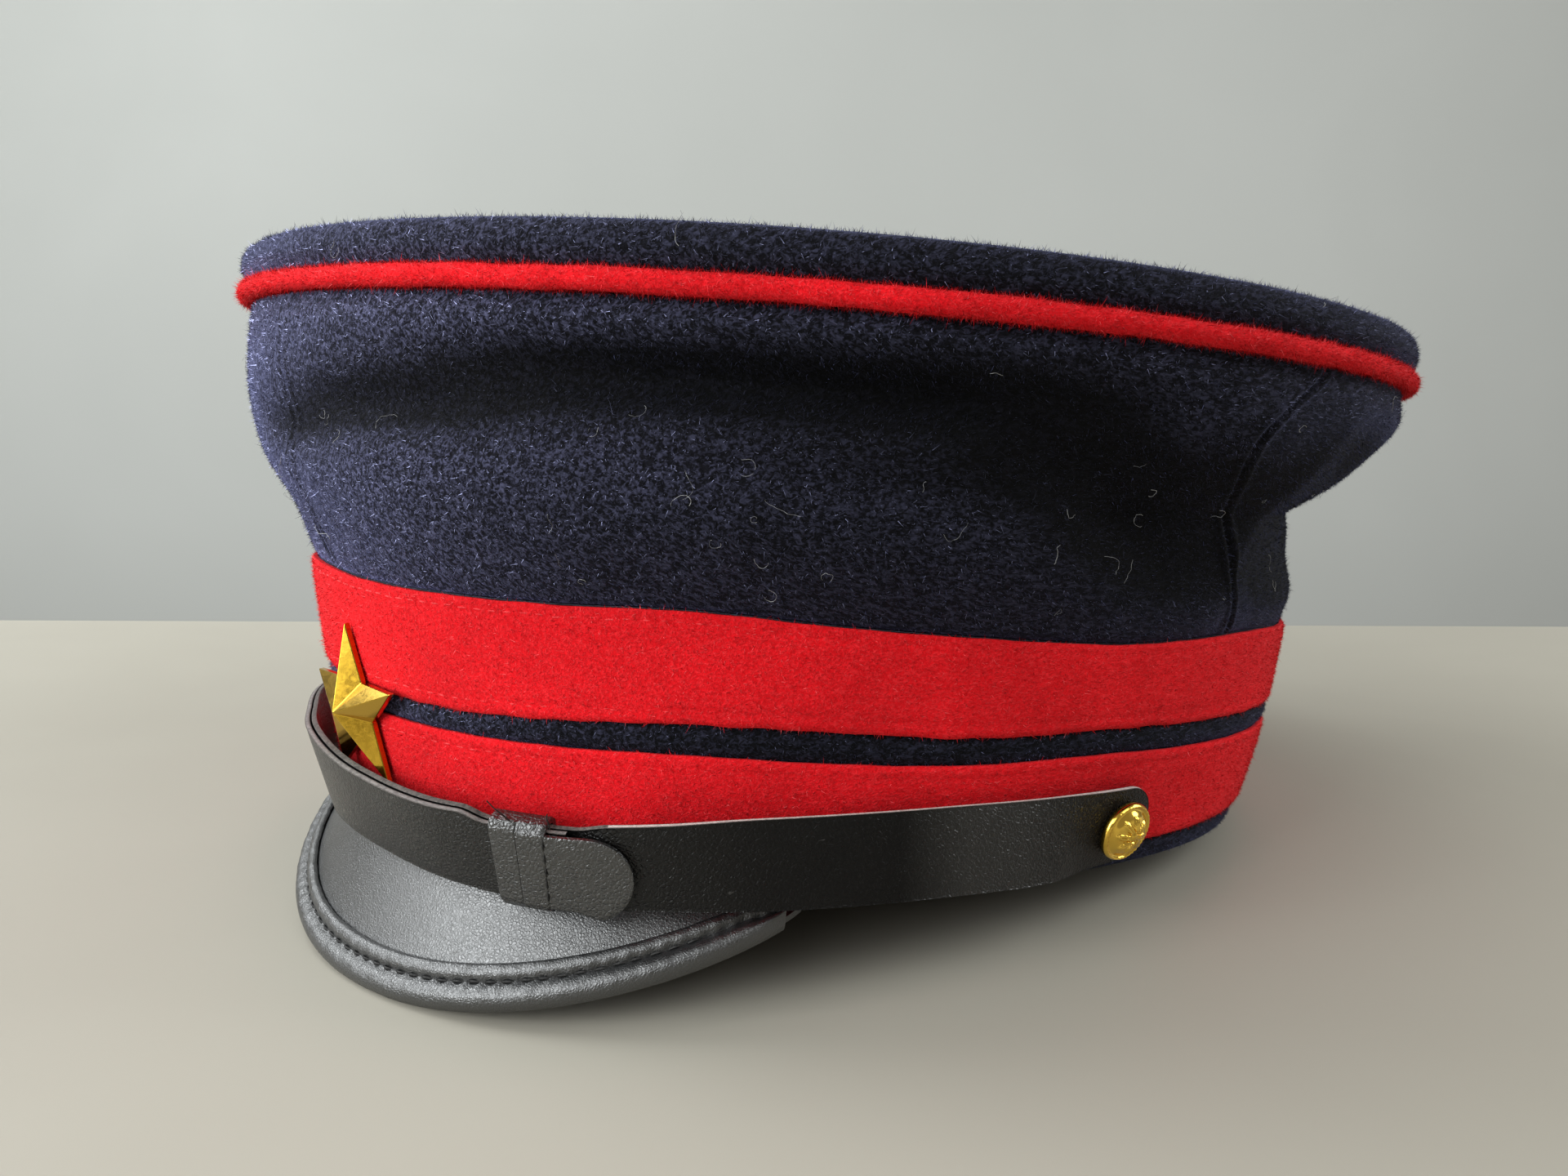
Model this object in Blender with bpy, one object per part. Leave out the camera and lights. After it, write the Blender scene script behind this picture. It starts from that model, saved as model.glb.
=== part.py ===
"""A military peaked cap: soft navy crown, red piping, red and navy band, black peak,
chin strap with keepers and buttons, and a five-pointed star.

Run with Blender 4.5. Sizes below are in millimetres, angles in degrees.
An angle round the cap is 0 at the front (-Y) and grows towards the wearer's left (+X).
A height is measured up from the hem, square to the hem's plane.
"""

import math
from collections import namedtuple

import bmesh
import bpy
from mathutils import Matrix, Vector

MM = 0.001

# Head band: an egg-shaped oval that flares upwards
BAND_HALF_WIDTH = 86.0
BAND_HALF_LENGTH = 100.9
BAND_ROUNDNESS = 2.13
BAND_EGG = 0.17
BAND_FLARE = 0.186
CLOTH = 1.6
HEM_HEIGHT = 4.6
BAND_HEIGHT = 44.0
PINCH_FROM = 24.0
RED_THICKNESS = 1.2
RED_SOFTENING = 0.35
GAP = 0.3
NORMAL_STEP = 2.0

# Crown: a flat oval top that leans a little, wider than the band
CROWN_HALF_WIDTH = 118.9
CROWN_HALF_LENGTH = 121.2
CROWN_CENTRE_Y = 0.9
CROWN_HEIGHT = 93.4
CROWN_NOD = 1.27
CROWN_LEAN = 1.16
PIPING_RADIUS = 1.66
PIPING_INSET = 0.66
PIPING_CLEARANCE = 0.1
SIDE_INSET = 1.6
SIDE_STEP_OUT = 0.2
FULLNESS = 5.2
FOLD_FADE = 0.05
TOP_SAG = 3.2

# Peak: a steep sheet under the hem, with a folded binding
PEAK_HALF_ANGLE = 50.5
PEAK_REACH = 8.9
PEAK_CORNER_REACH = 0.9
PEAK_CORNER_POWER = 6
PEAK_DROP = 26.0
PEAK_DROP_ANGLE = 54.5
PEAK_DROP_POWER = 0.93
PEAK_FORWARD = 0.086
PEAK_START_HEIGHT = 3.1
PEAK_THICKNESS = 1.4
PEAK_ROOT_DROP = 0.7
PEAK_ROOT_OFF = 0.4
PEAK_LIP_GAP = 0.35
PEAK_LIP_STEP = 0.5
BINDING_WIDTH = 7.4
BINDING_WALL = 1.0
BINDING_HALF_ANGLE = 48.4
BINDING_ROOM = 1.6

# Chin strap
STRAP_WIDTH = 14.8
STRAP_THICKNESS = 1.0
BUTTON_ANGLE = 82.6
STRAP_END_BEYOND_BUTTON = 8.0
TONGUE_END_ANGLE = 33.6
TONGUE_DROP = 1.6
RISE_FROM = 27.6
RISE_TO = 31.0
SQUEEZE = 1.5
SQUEEZE_FROM = 15.4
SQUEEZE_TO = 18.7
KEEPER_START_ANGLE = 19.2
KEEPER_WIDTH = 12.2
KEEPER_WALL = 1.0
KEEPER_CLEARANCE = 0.3
KEEPER_OUTER_BEVEL = 1.2
KEEPER_INNER_BEVEL = 0.25
KEEPER_RIGHT_START_ANGLE = -57.3
INNER_TIP_ANGLE = -64.0

# Buttons
BUTTON_RADIUS = 5.5

# Star
STAR_ARMS = 5
STAR_RADIUS = 14.5
STAR_INNER_RATIO = 0.40
STAR_ANGLE = -4.3
STAR_CENTRE_HEIGHT = 22.0
STAR_EDGE = 0.9
STAR_APEX = 5.1
STAR_TURN = 0.7

# Rest: the peak's edge and the back of the hem stand on the surface
TILT = 6.31
REST_PRESS = 0.4

# Facets: steps round the cap and across each piece, and the least angle of a sharp edge
TURNS = 74
SIDE_ROWS = 13
PIPING_SIDES = 6
PEAK_STATIONS = 36
STRAP_FACET_ANGLE = 2.6
STRAP_EXTRA_STATIONS = (18.7, 27.6, 28.5, 29.3, 30.2, 31.0)
STRAP_STATION_ROOM = 0.7
STRAP_END_STEPS = 6
STRAP_END_FIRST_TURN = 2.0
STRAP_WALK_STEP = 0.25
KEEPER_PARTS = 4
BUTTON_SIDES = 20
SHARP_ANGLE = 38.0

# Heights of the band's edges at angles round the cap, and how far the folds above pull its top edge in
BandRow = namedtuple("BandRow", "angle stripe_low stripe_high top pinch")
BAND_ROWS = (
    BandRow(-180, 22.0, 26.8, 44.0, 0.0),
    BandRow(-100, 22.2, 27.0, 43.6, 0.6),
    BandRow(-40, 22.0, 26.6, 44.6, 0.0),
    BandRow(-15, 21.8, 26.2, 45.0, 0.0),
    BandRow(0, 21.8, 25.8, 44.0, 0.0),
    BandRow(12, 21.8, 25.6, 44.0, 0.0),
    BandRow(25, 22.1, 26.5, 44.4, 0.0),
    BandRow(38, 22.6, 27.6, 45.1, 0.0),
    BandRow(52, 22.2, 27.4, 44.0, 0.0),
    BandRow(65, 21.9, 26.6, 43.1, 0.0),
    BandRow(80, 22.6, 27.3, 42.4, 0.4),
    BandRow(90, 22.3, 27.1, 43.3, 1.2),
    BandRow(100, 22.2, 27.1, 44.4, 2.2),
    BandRow(120, 22.1, 26.9, 44.3, 2.6),
    BandRow(150, 22.0, 26.8, 44.2, 1.0),
    BandRow(180, 22.0, 26.8, 44.0, 0.0),
)

# Folds of the crown's side: place (angle, height from 0 at the band to 1 at the piping), how far each
# reaches round and up, how far it pushes the cloth out (minus is in), and how sharp it is (2 is soft)
Fold = namedtuple("Fold", "name angle height round_reach up_reach push softness")
FOLDS = (
    Fold("near belly", 38, 0.30, 34, 0.22, 3.0, 2.0),
    Fold("near shoulder", 36, 0.92, 36, 0.08, 1.8, 2.0),
    Fold("valley start", -8, 0.52, 10, 0.09, -2.4, 2.0),
    Fold("valley front", 8, 0.63, 14, 0.10, -4.0, 2.0),
    Fold("valley middle", 33, 0.76, 18, 0.10, -6.2, 2.0),
    Fold("valley end", 52, 0.79, 12, 0.10, -4.2, 2.0),
    Fold("droop top", 63, 0.64, 8, 0.12, -4.8, 2.0),
    Fold("droop middle", 70, 0.48, 6, 0.13, -4.2, 2.0),
    Fold("droop foot", 76, 0.34, 7, 0.15, -3.2, 2.0),
    Fold("plateau over the droop", 73, 0.76, 9, 0.12, 1.8, 2.0),
    Fold("left seam crease", 113, 0.49, 36, 0.20, -14.5, 1.3),
    Fold("left seam hollow", 108, 0.30, 28, 0.15, -5.0, 2.0),
    Fold("left seam ridge", 88, 0.45, 3.5, 0.45, 1.8, 1.6),
    Fold("fan fold", 97, 0.70, 6, 0.12, -1.8, 1.6),
    Fold("left back shoulder", 112, 0.88, 26, 0.10, 1.8, 2.0),
    Fold("back belly", 162, 0.32, 24, 0.20, 2.6, 2.0),
    Fold("back valley", 168, 0.70, 26, 0.11, -4.0, 2.0),
    Fold("right back crease", -112, 0.45, 24, 0.17, -8.0, 1.5),
    Fold("right seam ridge", -104, 0.45, 4.0, 0.45, 1.4, 1.6),
    Fold("right belly", -66, 0.30, 24, 0.21, 2.2, 2.0),
    Fold("right valley", -62, 0.74, 17, 0.10, -4.0, 2.0),
    Fold("front seam ridge", -16, 0.45, 3.5, 0.50, 0.6, 1.6),
    Fold("front slope", -22, 0.22, 18, 0.15, -1.9, 2.0),
)

# How far the strap's outer face stands off the flared wall at its top and bottom edge, and the height
# of its middle
StrapRow = namedtuple("StrapRow", "angle top_off bottom_off height")
STRAP_ROWS = (
    StrapRow(-92, 3.4, 3.9, 9.9),
    StrapRow(-80, 3.7, 4.3, 9.9),
    StrapRow(-62, 8.0, 6.6, 9.0),
    StrapRow(-45, 11.4, 6.9, 7.6),
    StrapRow(-30, 8.2, 4.4, 6.1),
    StrapRow(-15, 6.9, 4.5, 6.1),
    StrapRow(0, 8.0, 4.2, 5.2),
    StrapRow(12, 9.7, 5.6, 4.7),
    StrapRow(20, 9.0, 6.3, 4.7),
    StrapRow(28, 8.7, 6.5, 4.7),
    StrapRow(36, 8.1, 7.1, 5.7),
    StrapRow(45, 6.9, 8.3, 7.1),
    StrapRow(62, 5.0, 7.5, 8.6),
    StrapRow(74, 4.7, 6.8, 9.2),
    StrapRow(79, 4.6, 4.4, 9.4),
    StrapRow(84, 4.3, 3.3, 9.6),
    StrapRow(92, 3.6, 3.3, 9.9),
)

# Section of the crown's rim: how far each point stands out of the crown's oval, and up from the piping
RimRow = namedtuple("RimRow", "out up")
RIM_OUTER = (
    RimRow(-0.9, 0.0),
    RimRow(0.3, 1.9),
    RimRow(0.1, 4.2),
    RimRow(-1.2, 5.9),
    RimRow(-4.2, 6.6),
)
RIM_INNER = (
    RimRow(-4.6, 5.0),
    RimRow(-2.4, 0.0),
)

# Rings of the top panel, as shares of the way out from its middle
TOP_SHARES = (0.88, 0.66, 0.36)

# Section of the binding's bead: how far back from its tip and how far off its middle, in half thicknesses
BeadRow = namedtuple("BeadRow", "back lift")
BEAD_ROWS = (
    BeadRow(0.9, 1.0),
    BeadRow(0.3, 0.72),
    BeadRow(0.0, 0.0),
    BeadRow(0.3, -0.72),
    BeadRow(0.9, -1.0),
)
BINDING_LIP = 0.4

# Section of a button: share of its radius, and lift off the strap
ButtonRow = namedtuple("ButtonRow", "share lift")
BUTTON_ROWS = (
    ButtonRow(0.86, 0.5),
    ButtonRow(1.0, 1.0),
    ButtonRow(1.0, 1.8),
    ButtonRow(0.90, 2.2),
    ButtonRow(0.80, 1.85),
    ButtonRow(0.62, 2.8),
    ButtonRow(0.34, 3.6),
)
BUTTON_CREST = 3.8

Paint = namedtuple("Paint", "name colour roughness metallic")
NAVY = Paint("navy_wool", (0.016, 0.019, 0.040), 0.95, 0.0)
RED = Paint("red_wool", (0.60, 0.012, 0.018), 0.95, 0.0)
LEATHER = Paint("black_leather", (0.020, 0.021, 0.022), 0.45, 0.0)
GILT = Paint("gilt_metal", (0.78, 0.52, 0.13), 0.25, 1.0)


def smooth_value(rows, column, angle):
    """Smooth curve through a table's column, flat beyond its first and last row."""
    knots = [row.angle for row in rows]
    values = [getattr(row, column) for row in rows]
    if angle <= knots[0]:
        return values[0]
    if angle >= knots[-1]:
        return values[-1]
    last = len(rows) - 1
    i = max(k for k in range(last) if knots[k] <= angle)
    span = knots[i + 1] - knots[i]
    t = (angle - knots[i]) / span

    def slope(k):
        if k == 0 or k == last:
            return 0.0
        return (values[k + 1] - values[k - 1]) / (knots[k + 1] - knots[k - 1])

    rise = values[i + 1] - values[i]
    start = slope(i) * span
    end = slope(i + 1) * span
    return values[i] + t * start + t * t * (3 * rise - 2 * start - end) + t ** 3 * (start + end - 2 * rise)


def smooth_step(value, low, high):
    """0 below low, 1 above high, with an even ramp between them."""
    t = min(max((value - low) / (high - low), 0.0), 1.0)
    return t * t * (3 - 2 * t)


def wrap(angle):
    """The same angle between -180 and 180."""
    return (angle + 180.0) % 360.0 - 180.0


def oval(angle, half_width, half_length, roundness, egg):
    """Point on an egg-shaped oval, with its front at -Y."""
    s = math.sin(math.radians(angle))
    c = math.cos(math.radians(angle))
    x = half_width * math.copysign(abs(s) ** (2 / roundness), s)
    y = -half_length * math.copysign(abs(c) ** (2 / roundness), c)
    return Vector((x * (1 + egg * y / half_length), y, 0.0))


def wall_point(angle, height):
    """Point on the band's flared outer wall."""
    grow = BAND_FLARE * height
    point = oval(angle, BAND_HALF_WIDTH + grow, BAND_HALF_LENGTH + grow, BAND_ROUNDNESS, BAND_EGG)
    point.z = height
    if height > PINCH_FROM:
        share = (height - PINCH_FROM) / (BAND_HEIGHT - PINCH_FROM)
        point -= point.normalized() * smooth_value(BAND_ROWS, "pinch", wrap(angle)) * share
    return point


def wall_normal(angle):
    """Level direction straight out of the band's wall."""
    along = wall_point(angle + NORMAL_STEP, 0.0) - wall_point(angle - NORMAL_STEP, 0.0)
    return Vector((along.y, -along.x, 0.0)).normalized()


def off_wall(angle, height, distance):
    """Point that stands a level distance off the band's wall."""
    return wall_point(angle, height) + wall_normal(angle) * distance


def crown_place(flat):
    """Carry a point of the crown's own level oval to where the crown leans."""
    nod = Matrix.Rotation(math.radians(CROWN_NOD), 3, "X")
    lean = Matrix.Rotation(math.radians(CROWN_LEAN), 3, "Y")
    return lean @ nod @ flat + Vector((0.0, CROWN_CENTRE_Y, CROWN_HEIGHT))


def crown_edge(angle, grow, rise):
    """Point by the crown's edge, moved out by grow and up by rise."""
    flat = oval(angle, CROWN_HALF_WIDTH + grow, CROWN_HALF_LENGTH + grow, 2.0, 0.0)
    return crown_place(flat + Vector((0.0, 0.0, rise)))


def crown_inside(angle, share, rise):
    """Point a share of the way out from the crown's middle, at a rise above the piping's plane."""
    flat = oval(angle, CROWN_HALF_WIDTH, CROWN_HALF_LENGTH, 2.0, 0.0)
    return crown_place(flat * share + Vector((0.0, 0.0, rise)))


def fold_push(angle, height):
    """How far the cloth of the crown's side stands out of the straight line between band and piping."""
    push = FULLNESS * math.sin(math.pi * height)
    ends = min(1.0, height / FOLD_FADE, (1.0 - height) / FOLD_FADE)
    for fold in FOLDS:
        turn = abs(wrap(angle - fold.angle)) / fold.round_reach
        lift = abs(height - fold.height) / fold.up_reach
        push += ends * fold.push * math.exp(-turn ** fold.softness - lift ** fold.softness)
    return push


def side_point(angle, height, inset):
    """Point on the crown's side, with inset measured inwards from its outer face."""
    low = off_wall(angle, smooth_value(BAND_ROWS, "top", angle) + GAP, SIDE_STEP_OUT - inset)
    high = crown_edge(angle, -SIDE_INSET - inset, -PIPING_RADIUS - PIPING_CLEARANCE)
    return low.lerp(high, height) + wall_normal(angle) * fold_push(angle, height)


def strap_point(angle, across, depth):
    """Point on the strap: across its width from the middle line, depth outwards from its outer face."""
    height = smooth_value(STRAP_ROWS, "height", angle)
    half = STRAP_WIDTH / 2
    bottom = off_wall(angle, height - half, smooth_value(STRAP_ROWS, "bottom_off", angle))
    top = off_wall(angle, height + half, smooth_value(STRAP_ROWS, "top_off", angle))
    up = (top - bottom).normalized()
    out = wall_normal(angle)
    out = (out - up * out.dot(up)).normalized()
    return (bottom + top) / 2 + up * across + out * depth


def angle_along_strap(start, distance):
    """Angle reached by going a distance in millimetres along the strap from a start angle."""
    step = math.copysign(STRAP_WALK_STEP, distance)
    angle = start
    left = abs(distance)
    while left > 0:
        run = (strap_point(angle + step, 0, 0) - strap_point(angle, 0, 0)).length
        angle += step * min(1.0, left / run)
        left -= run
    return angle


def add_object(name, mesh_data, paint, frame):
    """Link a mesh to the scene as one named piece with its own material."""
    bm = bmesh.new()
    points, faces = mesh_data
    vertices = [bm.verts.new(point * MM) for point in points]
    for face in faces:
        bm.faces.new([vertices[i] for i in face])
    bmesh.ops.recalc_face_normals(bm, faces=bm.faces)
    mesh = bpy.data.meshes.new(name)
    bm.to_mesh(mesh)
    bm.free()
    mesh.shade_smooth()
    mesh.set_sharp_from_angle(angle=math.radians(SHARP_ANGLE))
    mesh.materials.append(make_material(name, paint))
    piece = bpy.data.objects.new(name, mesh)
    piece.parent = frame
    bpy.context.scene.collection.objects.link(piece)
    return piece


def make_material(name, paint):
    """A Principled material with the piece's colour."""
    material = bpy.data.materials.new(f"{name}_{paint.name}")
    material.use_nodes = True
    shader = material.node_tree.nodes["Principled BSDF"]
    shader.inputs["Base Color"].default_value = (*paint.colour, 1.0)
    shader.inputs["Roughness"].default_value = paint.roughness
    shader.inputs["Metallic"].default_value = paint.metallic
    material.diffuse_color = (*paint.colour, 1.0)
    return material


def bridge(sections, closed):
    """Points and faces of a body through a row of equal sections, round in a ring or with capped ends."""
    size = len(sections[0])
    points = [point for section in sections for point in section]
    faces = []
    steps = len(sections) if closed else len(sections) - 1
    for i in range(steps):
        here = i * size
        there = ((i + 1) % len(sections)) * size
        for k in range(size):
            after = (k + 1) % size
            faces.append((here + k, here + after, there + after, there + k))
    if not closed:
        faces.append(tuple(range(size)))
        faces.append(tuple(len(points) - size + k for k in range(size)))
    return points, faces


def turn_angles(count):
    """Even angles once round the cap, with one at the very front and one at the very back."""
    return [-180.0 + 360.0 * i / count for i in range(count)]


def build_band(frame):
    """The navy head band: a flared wall, open above and below."""
    sections = []
    for angle in turn_angles(TURNS):
        top = smooth_value(BAND_ROWS, "top", angle)
        sections.append([
            off_wall(angle, 0.0, 0.0),
            off_wall(angle, PINCH_FROM, 0.0),
            off_wall(angle, top, 0.0),
            off_wall(angle, top, -CLOTH),
            off_wall(angle, PINCH_FROM, -CLOTH),
            off_wall(angle, 0.0, -CLOTH),
        ])
    return add_object("band", bridge(sections, True), NAVY, frame)


def build_red_strip(name, low_height, high_height, frame):
    """A red strip laid round the band between two heights that may change with the angle."""
    inner = GAP
    outer = GAP + RED_THICKNESS
    sections = []
    for angle in turn_angles(TURNS):
        low = low_height(angle)
        high = high_height(angle)
        sections.append([
            off_wall(angle, low, inner),
            off_wall(angle, low, outer - RED_SOFTENING),
            off_wall(angle, low + RED_SOFTENING, outer),
            off_wall(angle, high - RED_SOFTENING, outer),
            off_wall(angle, high, outer - RED_SOFTENING),
            off_wall(angle, high, inner),
        ])
    return add_object(name, bridge(sections, True), RED, frame)


def build_crown_side(frame):
    """The soft side of the crown, a folded cloth wall; its inner face has every other row."""
    heights = [i / SIDE_ROWS for i in range(SIDE_ROWS + 1)]
    inner_heights = heights[:1] + heights[1::2]
    sections = []
    for angle in turn_angles(TURNS):
        outer = [side_point(angle, height, 0.0) for height in heights]
        inner = [side_point(angle, height, CLOTH) for height in reversed(inner_heights)]
        sections.append(outer + inner)
    return add_object("crown_side", bridge(sections, True), NAVY, frame)


def build_piping(frame):
    """The red piping, a cord of cloth round the crown's edge."""
    sections = []
    for angle in turn_angles(TURNS):
        section = []
        for k in range(PIPING_SIDES):
            turn = 2 * math.pi * k / PIPING_SIDES
            out = PIPING_RADIUS * math.cos(turn) - PIPING_INSET
            section.append(crown_edge(angle, out, PIPING_RADIUS * math.sin(turn)))
        sections.append(section)
    return add_object("crown_piping", bridge(sections, True), RED, frame)


def top_sag(share):
    """How far the top panel hangs below its rim, from 0 at the rim to the middle."""
    return TOP_SAG * (1 - share * share)


def build_crown_top(frame):
    """The top panel: a rounded rim above the piping and a flat, slightly hollow middle."""
    rim = PIPING_RADIUS + GAP
    top = rim + RIM_OUTER[-1].up
    under = top - CLOTH
    sections = []
    for angle in turn_angles(TURNS):
        section = [crown_edge(angle, row.out, rim + row.up) for row in RIM_OUTER]
        section += [crown_inside(angle, share, top - top_sag(share)) for share in TOP_SHARES]
        section += [crown_inside(angle, share, under - top_sag(share)) for share in reversed(TOP_SHARES)]
        section += [crown_edge(angle, row.out, rim + row.up) for row in RIM_INNER]
        sections.append(section)
    points, faces = bridge(sections, True)
    size = len(sections[0])
    last_outer = len(RIM_OUTER) + len(TOP_SHARES) - 1
    first_inner = last_outer + 1
    faces = [face for face in faces if face[0] % size != last_outer]
    top_middle = len(points)
    under_middle = top_middle + 1
    points.append(crown_inside(0, 0.0, top - top_sag(0)))
    points.append(crown_inside(0, 0.0, under - top_sag(0)))
    for i in range(len(sections)):
        here = i * size
        there = ((i + 1) % len(sections)) * size
        faces.append((here + last_outer, there + last_outer, top_middle))
        faces.append((there + first_inner, here + first_inner, under_middle))
    return add_object("crown_top", (points, faces), NAVY, frame)


def peak_line(angle):
    """The peak's top face at an angle: its root under the hem, the way down it, and its length."""
    out = wall_normal(angle)
    forward = (out * (1 - PEAK_FORWARD) + Vector((0.0, -1.0, 0.0)) * PEAK_FORWARD).normalized()
    share = abs(angle) / PEAK_HALF_ANGLE
    spread = math.sqrt(max(0.0, 1 - share ** PEAK_CORNER_POWER))
    reach = PEAK_CORNER_REACH + (PEAK_REACH - PEAK_CORNER_REACH) * spread
    drop = PEAK_DROP * (1 - (angle / PEAK_DROP_ANGLE) ** 2) ** PEAK_DROP_POWER
    root = off_wall(angle, -PEAK_ROOT_DROP, PEAK_ROOT_OFF)
    edge = wall_point(angle, PEAK_START_HEIGHT) + forward * reach
    edge.z -= drop
    down = edge - root
    return root, down.normalized(), down.length


def peak_frame(angle):
    """Root, way down, way out of the top face, and length."""
    root, down, length = peak_line(angle)
    across = wall_normal(angle).cross(Vector((0.0, 0.0, 1.0)))
    out = across.cross(down).normalized()
    if out.z < 0:
        out = -out
    return root, down, out, length


def peak_angles():
    """Angles across the peak, closer together near its corners."""
    shares = [2 * step / PEAK_STATIONS - 1 for step in range(PEAK_STATIONS + 1)]
    return [PEAK_HALF_ANGLE * math.sin(math.pi / 2 * share) for share in shares]


def binding_width(length):
    """How far the binding reaches up the peak, less where the peak is short."""
    return min(BINDING_WIDTH, max(length - BINDING_ROOM, BINDING_ROOM))


def build_peak(frame):
    """The peak: a thin sheet from a lip under the hem down to the binding."""
    sections = []
    for angle in peak_angles():
        root, down, out, length = peak_frame(angle)
        run = max(length - BINDING_WALL - GAP, 0.6)
        lip_low = off_wall(angle, -PEAK_LIP_GAP - PEAK_THICKNESS, -CLOTH)
        middle = max(length - binding_width(length) - GAP, GAP)
        sections.append([
            off_wall(angle, -PEAK_LIP_GAP, -CLOTH),
            off_wall(angle, -PEAK_LIP_GAP, 0.0),
            root,
            root + down * middle,
            root + down * run,
            root + down * run - out * PEAK_THICKNESS,
            root + down * middle - out * PEAK_THICKNESS,
            lip_low + down * PEAK_LIP_STEP,
        ])
    return add_object("peak", bridge(sections, False), LEATHER, frame)


def build_peak_binding(frame):
    """The binding: a channel folded over the peak's edge, open towards the hem."""
    top_inner = GAP
    top_outer = GAP + BINDING_WALL
    low_inner = -PEAK_THICKNESS - GAP
    low_outer = low_inner - BINDING_WALL
    middle = (top_outer + low_outer) / 2
    half = (top_outer - low_outer) / 2
    sections = []
    for angle in peak_angles():
        if abs(angle) > BINDING_HALF_ANGLE:
            continue
        root, down, out, length = peak_frame(angle)
        width = binding_width(length)

        def place(back, lift):
            return root + down * (length - back) + out * lift

        section = [place(width, top_inner), place(width - BINDING_LIP, top_outer)]
        section += [place(half * row.back, middle + half * row.lift) for row in BEAD_ROWS]
        section += [place(width - BINDING_LIP, low_outer), place(width, low_inner)]
        section += [place(BINDING_WALL, low_inner), place(BINDING_WALL, top_inner)]
        sections.append(section)
    return add_object("peak_binding", bridge(sections, False), LEATHER, frame)


def strap_stations(start, end):
    """Angles and half widths along a strap with two round ends."""
    half = STRAP_WIDTH / 2
    centre = angle_along_strap(start, half)
    far_centre = angle_along_strap(end, -half)
    sweep = 90 - 2 * STRAP_END_FIRST_TURN
    turns = [math.radians(STRAP_END_FIRST_TURN + sweep * k / STRAP_END_STEPS) for k in range(STRAP_END_STEPS)]
    count = round((far_centre - centre) / STRAP_FACET_ANGLE)
    even = [centre + (far_centre - centre) * k / count for k in range(count + 1)]
    extra = [angle for angle in STRAP_EXTRA_STATIONS
             if centre + STRAP_STATION_ROOM < angle < far_centre - STRAP_STATION_ROOM]
    middle = [angle for angle in even[1:-1]
              if all(abs(angle - other) > STRAP_STATION_ROOM for other in extra)]
    stations = [(angle_along_strap(centre, -half * math.cos(turn)), half * math.sin(turn)) for turn in turns]
    stations += [(angle, half) for angle in (centre, *sorted(middle + extra), far_centre)]
    for turn in reversed(turns):
        stations.append((angle_along_strap(far_centre, half * math.cos(turn)), half * math.sin(turn)))
    return stations


def top_squeeze(angle):
    """How far the left keeper presses the strap's top edge down, with a ramp to each side."""
    return SQUEEZE * smooth_step(angle, SQUEEZE_FROM, SQUEEZE_TO) * (1 - rise_share(angle))


def strap_sections(start, end, depth_at, drop_at):
    """Sections of a strap whose outer face lies at a depth and whose middle line may drop."""
    sections = []
    for angle, half in strap_stations(start, end):
        depth = depth_at(angle)
        drop = drop_at(angle)
        top = max(half - drop - top_squeeze(angle), -half - drop + GAP)
        sections.append([
            strap_point(angle, -half - drop, depth - STRAP_THICKNESS),
            strap_point(angle, -half - drop, depth),
            strap_point(angle, top, depth),
            strap_point(angle, top, depth - STRAP_THICKNESS),
        ])
    return sections


def rise_share(angle):
    """0 where the two halves lie flat under the keeper, 1 beyond it, where both have come out."""
    return smooth_step(angle, RISE_FROM, RISE_TO)


def tongue_drop(angle):
    """How far the tongue hangs below the strap that it lies on."""
    return TONGUE_DROP * rise_share(angle)


def outer_depth(angle):
    """Depth of the outer half: level with the keeper's face at its tongue."""
    return (STRAP_THICKNESS + GAP) * rise_share(angle)


def inner_depth(angle):
    """Depth of the inner half: under the outer one at the front, and out again beyond the keeper."""
    return (STRAP_THICKNESS + GAP) * (rise_share(angle) - 1)


def build_straps(frame):
    """The two halves of the chin strap."""
    right_end = angle_along_strap(-BUTTON_ANGLE, -STRAP_END_BEYOND_BUTTON)
    left_end = angle_along_strap(BUTTON_ANGLE, STRAP_END_BEYOND_BUTTON)
    outer = strap_sections(right_end, TONGUE_END_ANGLE, outer_depth, tongue_drop)
    add_object("strap_outer", bridge(outer, False), LEATHER, frame)
    inner = strap_sections(INNER_TIP_ANGLE, left_end, inner_depth, lambda angle: 0.0)
    add_object("strap_inner", bridge(inner, False), LEATHER, frame)


def bevelled_corners(top, bottom, front, back, bevel):
    """Corners of a keeper's section with the edges cut off, as pairs of across and depth."""
    return (
        (top, front - bevel), (top - bevel, front),
        (bottom + bevel, front), (bottom, front - bevel),
        (bottom, back + bevel), (bottom + bevel, back),
        (top - bevel, back), (top, back + bevel),
    )


def build_keeper(name, start, frame):
    """A flat loop of leather round both halves of the strap."""
    end = angle_along_strap(start, KEEPER_WIDTH)
    angles = [start + (end - start) * k / KEEPER_PARTS for k in range(KEEPER_PARTS + 1)]
    bottom = -STRAP_WIDTH / 2 - KEEPER_CLEARANCE
    top = -bottom - top_squeeze(start)
    front = KEEPER_CLEARANCE
    back = -2 * STRAP_THICKNESS - GAP - KEEPER_CLEARANCE
    wall = KEEPER_WALL
    inner = bevelled_corners(top, bottom, front, back, KEEPER_INNER_BEVEL)
    outer = bevelled_corners(top + wall, bottom - wall, front + wall, back - wall, KEEPER_OUTER_BEVEL)
    sections = []
    for (in_across, in_depth), (out_across, out_depth) in zip(inner, outer):
        section = [strap_point(angle, in_across, in_depth) for angle in angles]
        section += [strap_point(angle, out_across, out_depth) for angle in reversed(angles)]
        sections.append(section)
    return add_object(name, bridge(sections, True), LEATHER, frame)


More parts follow.
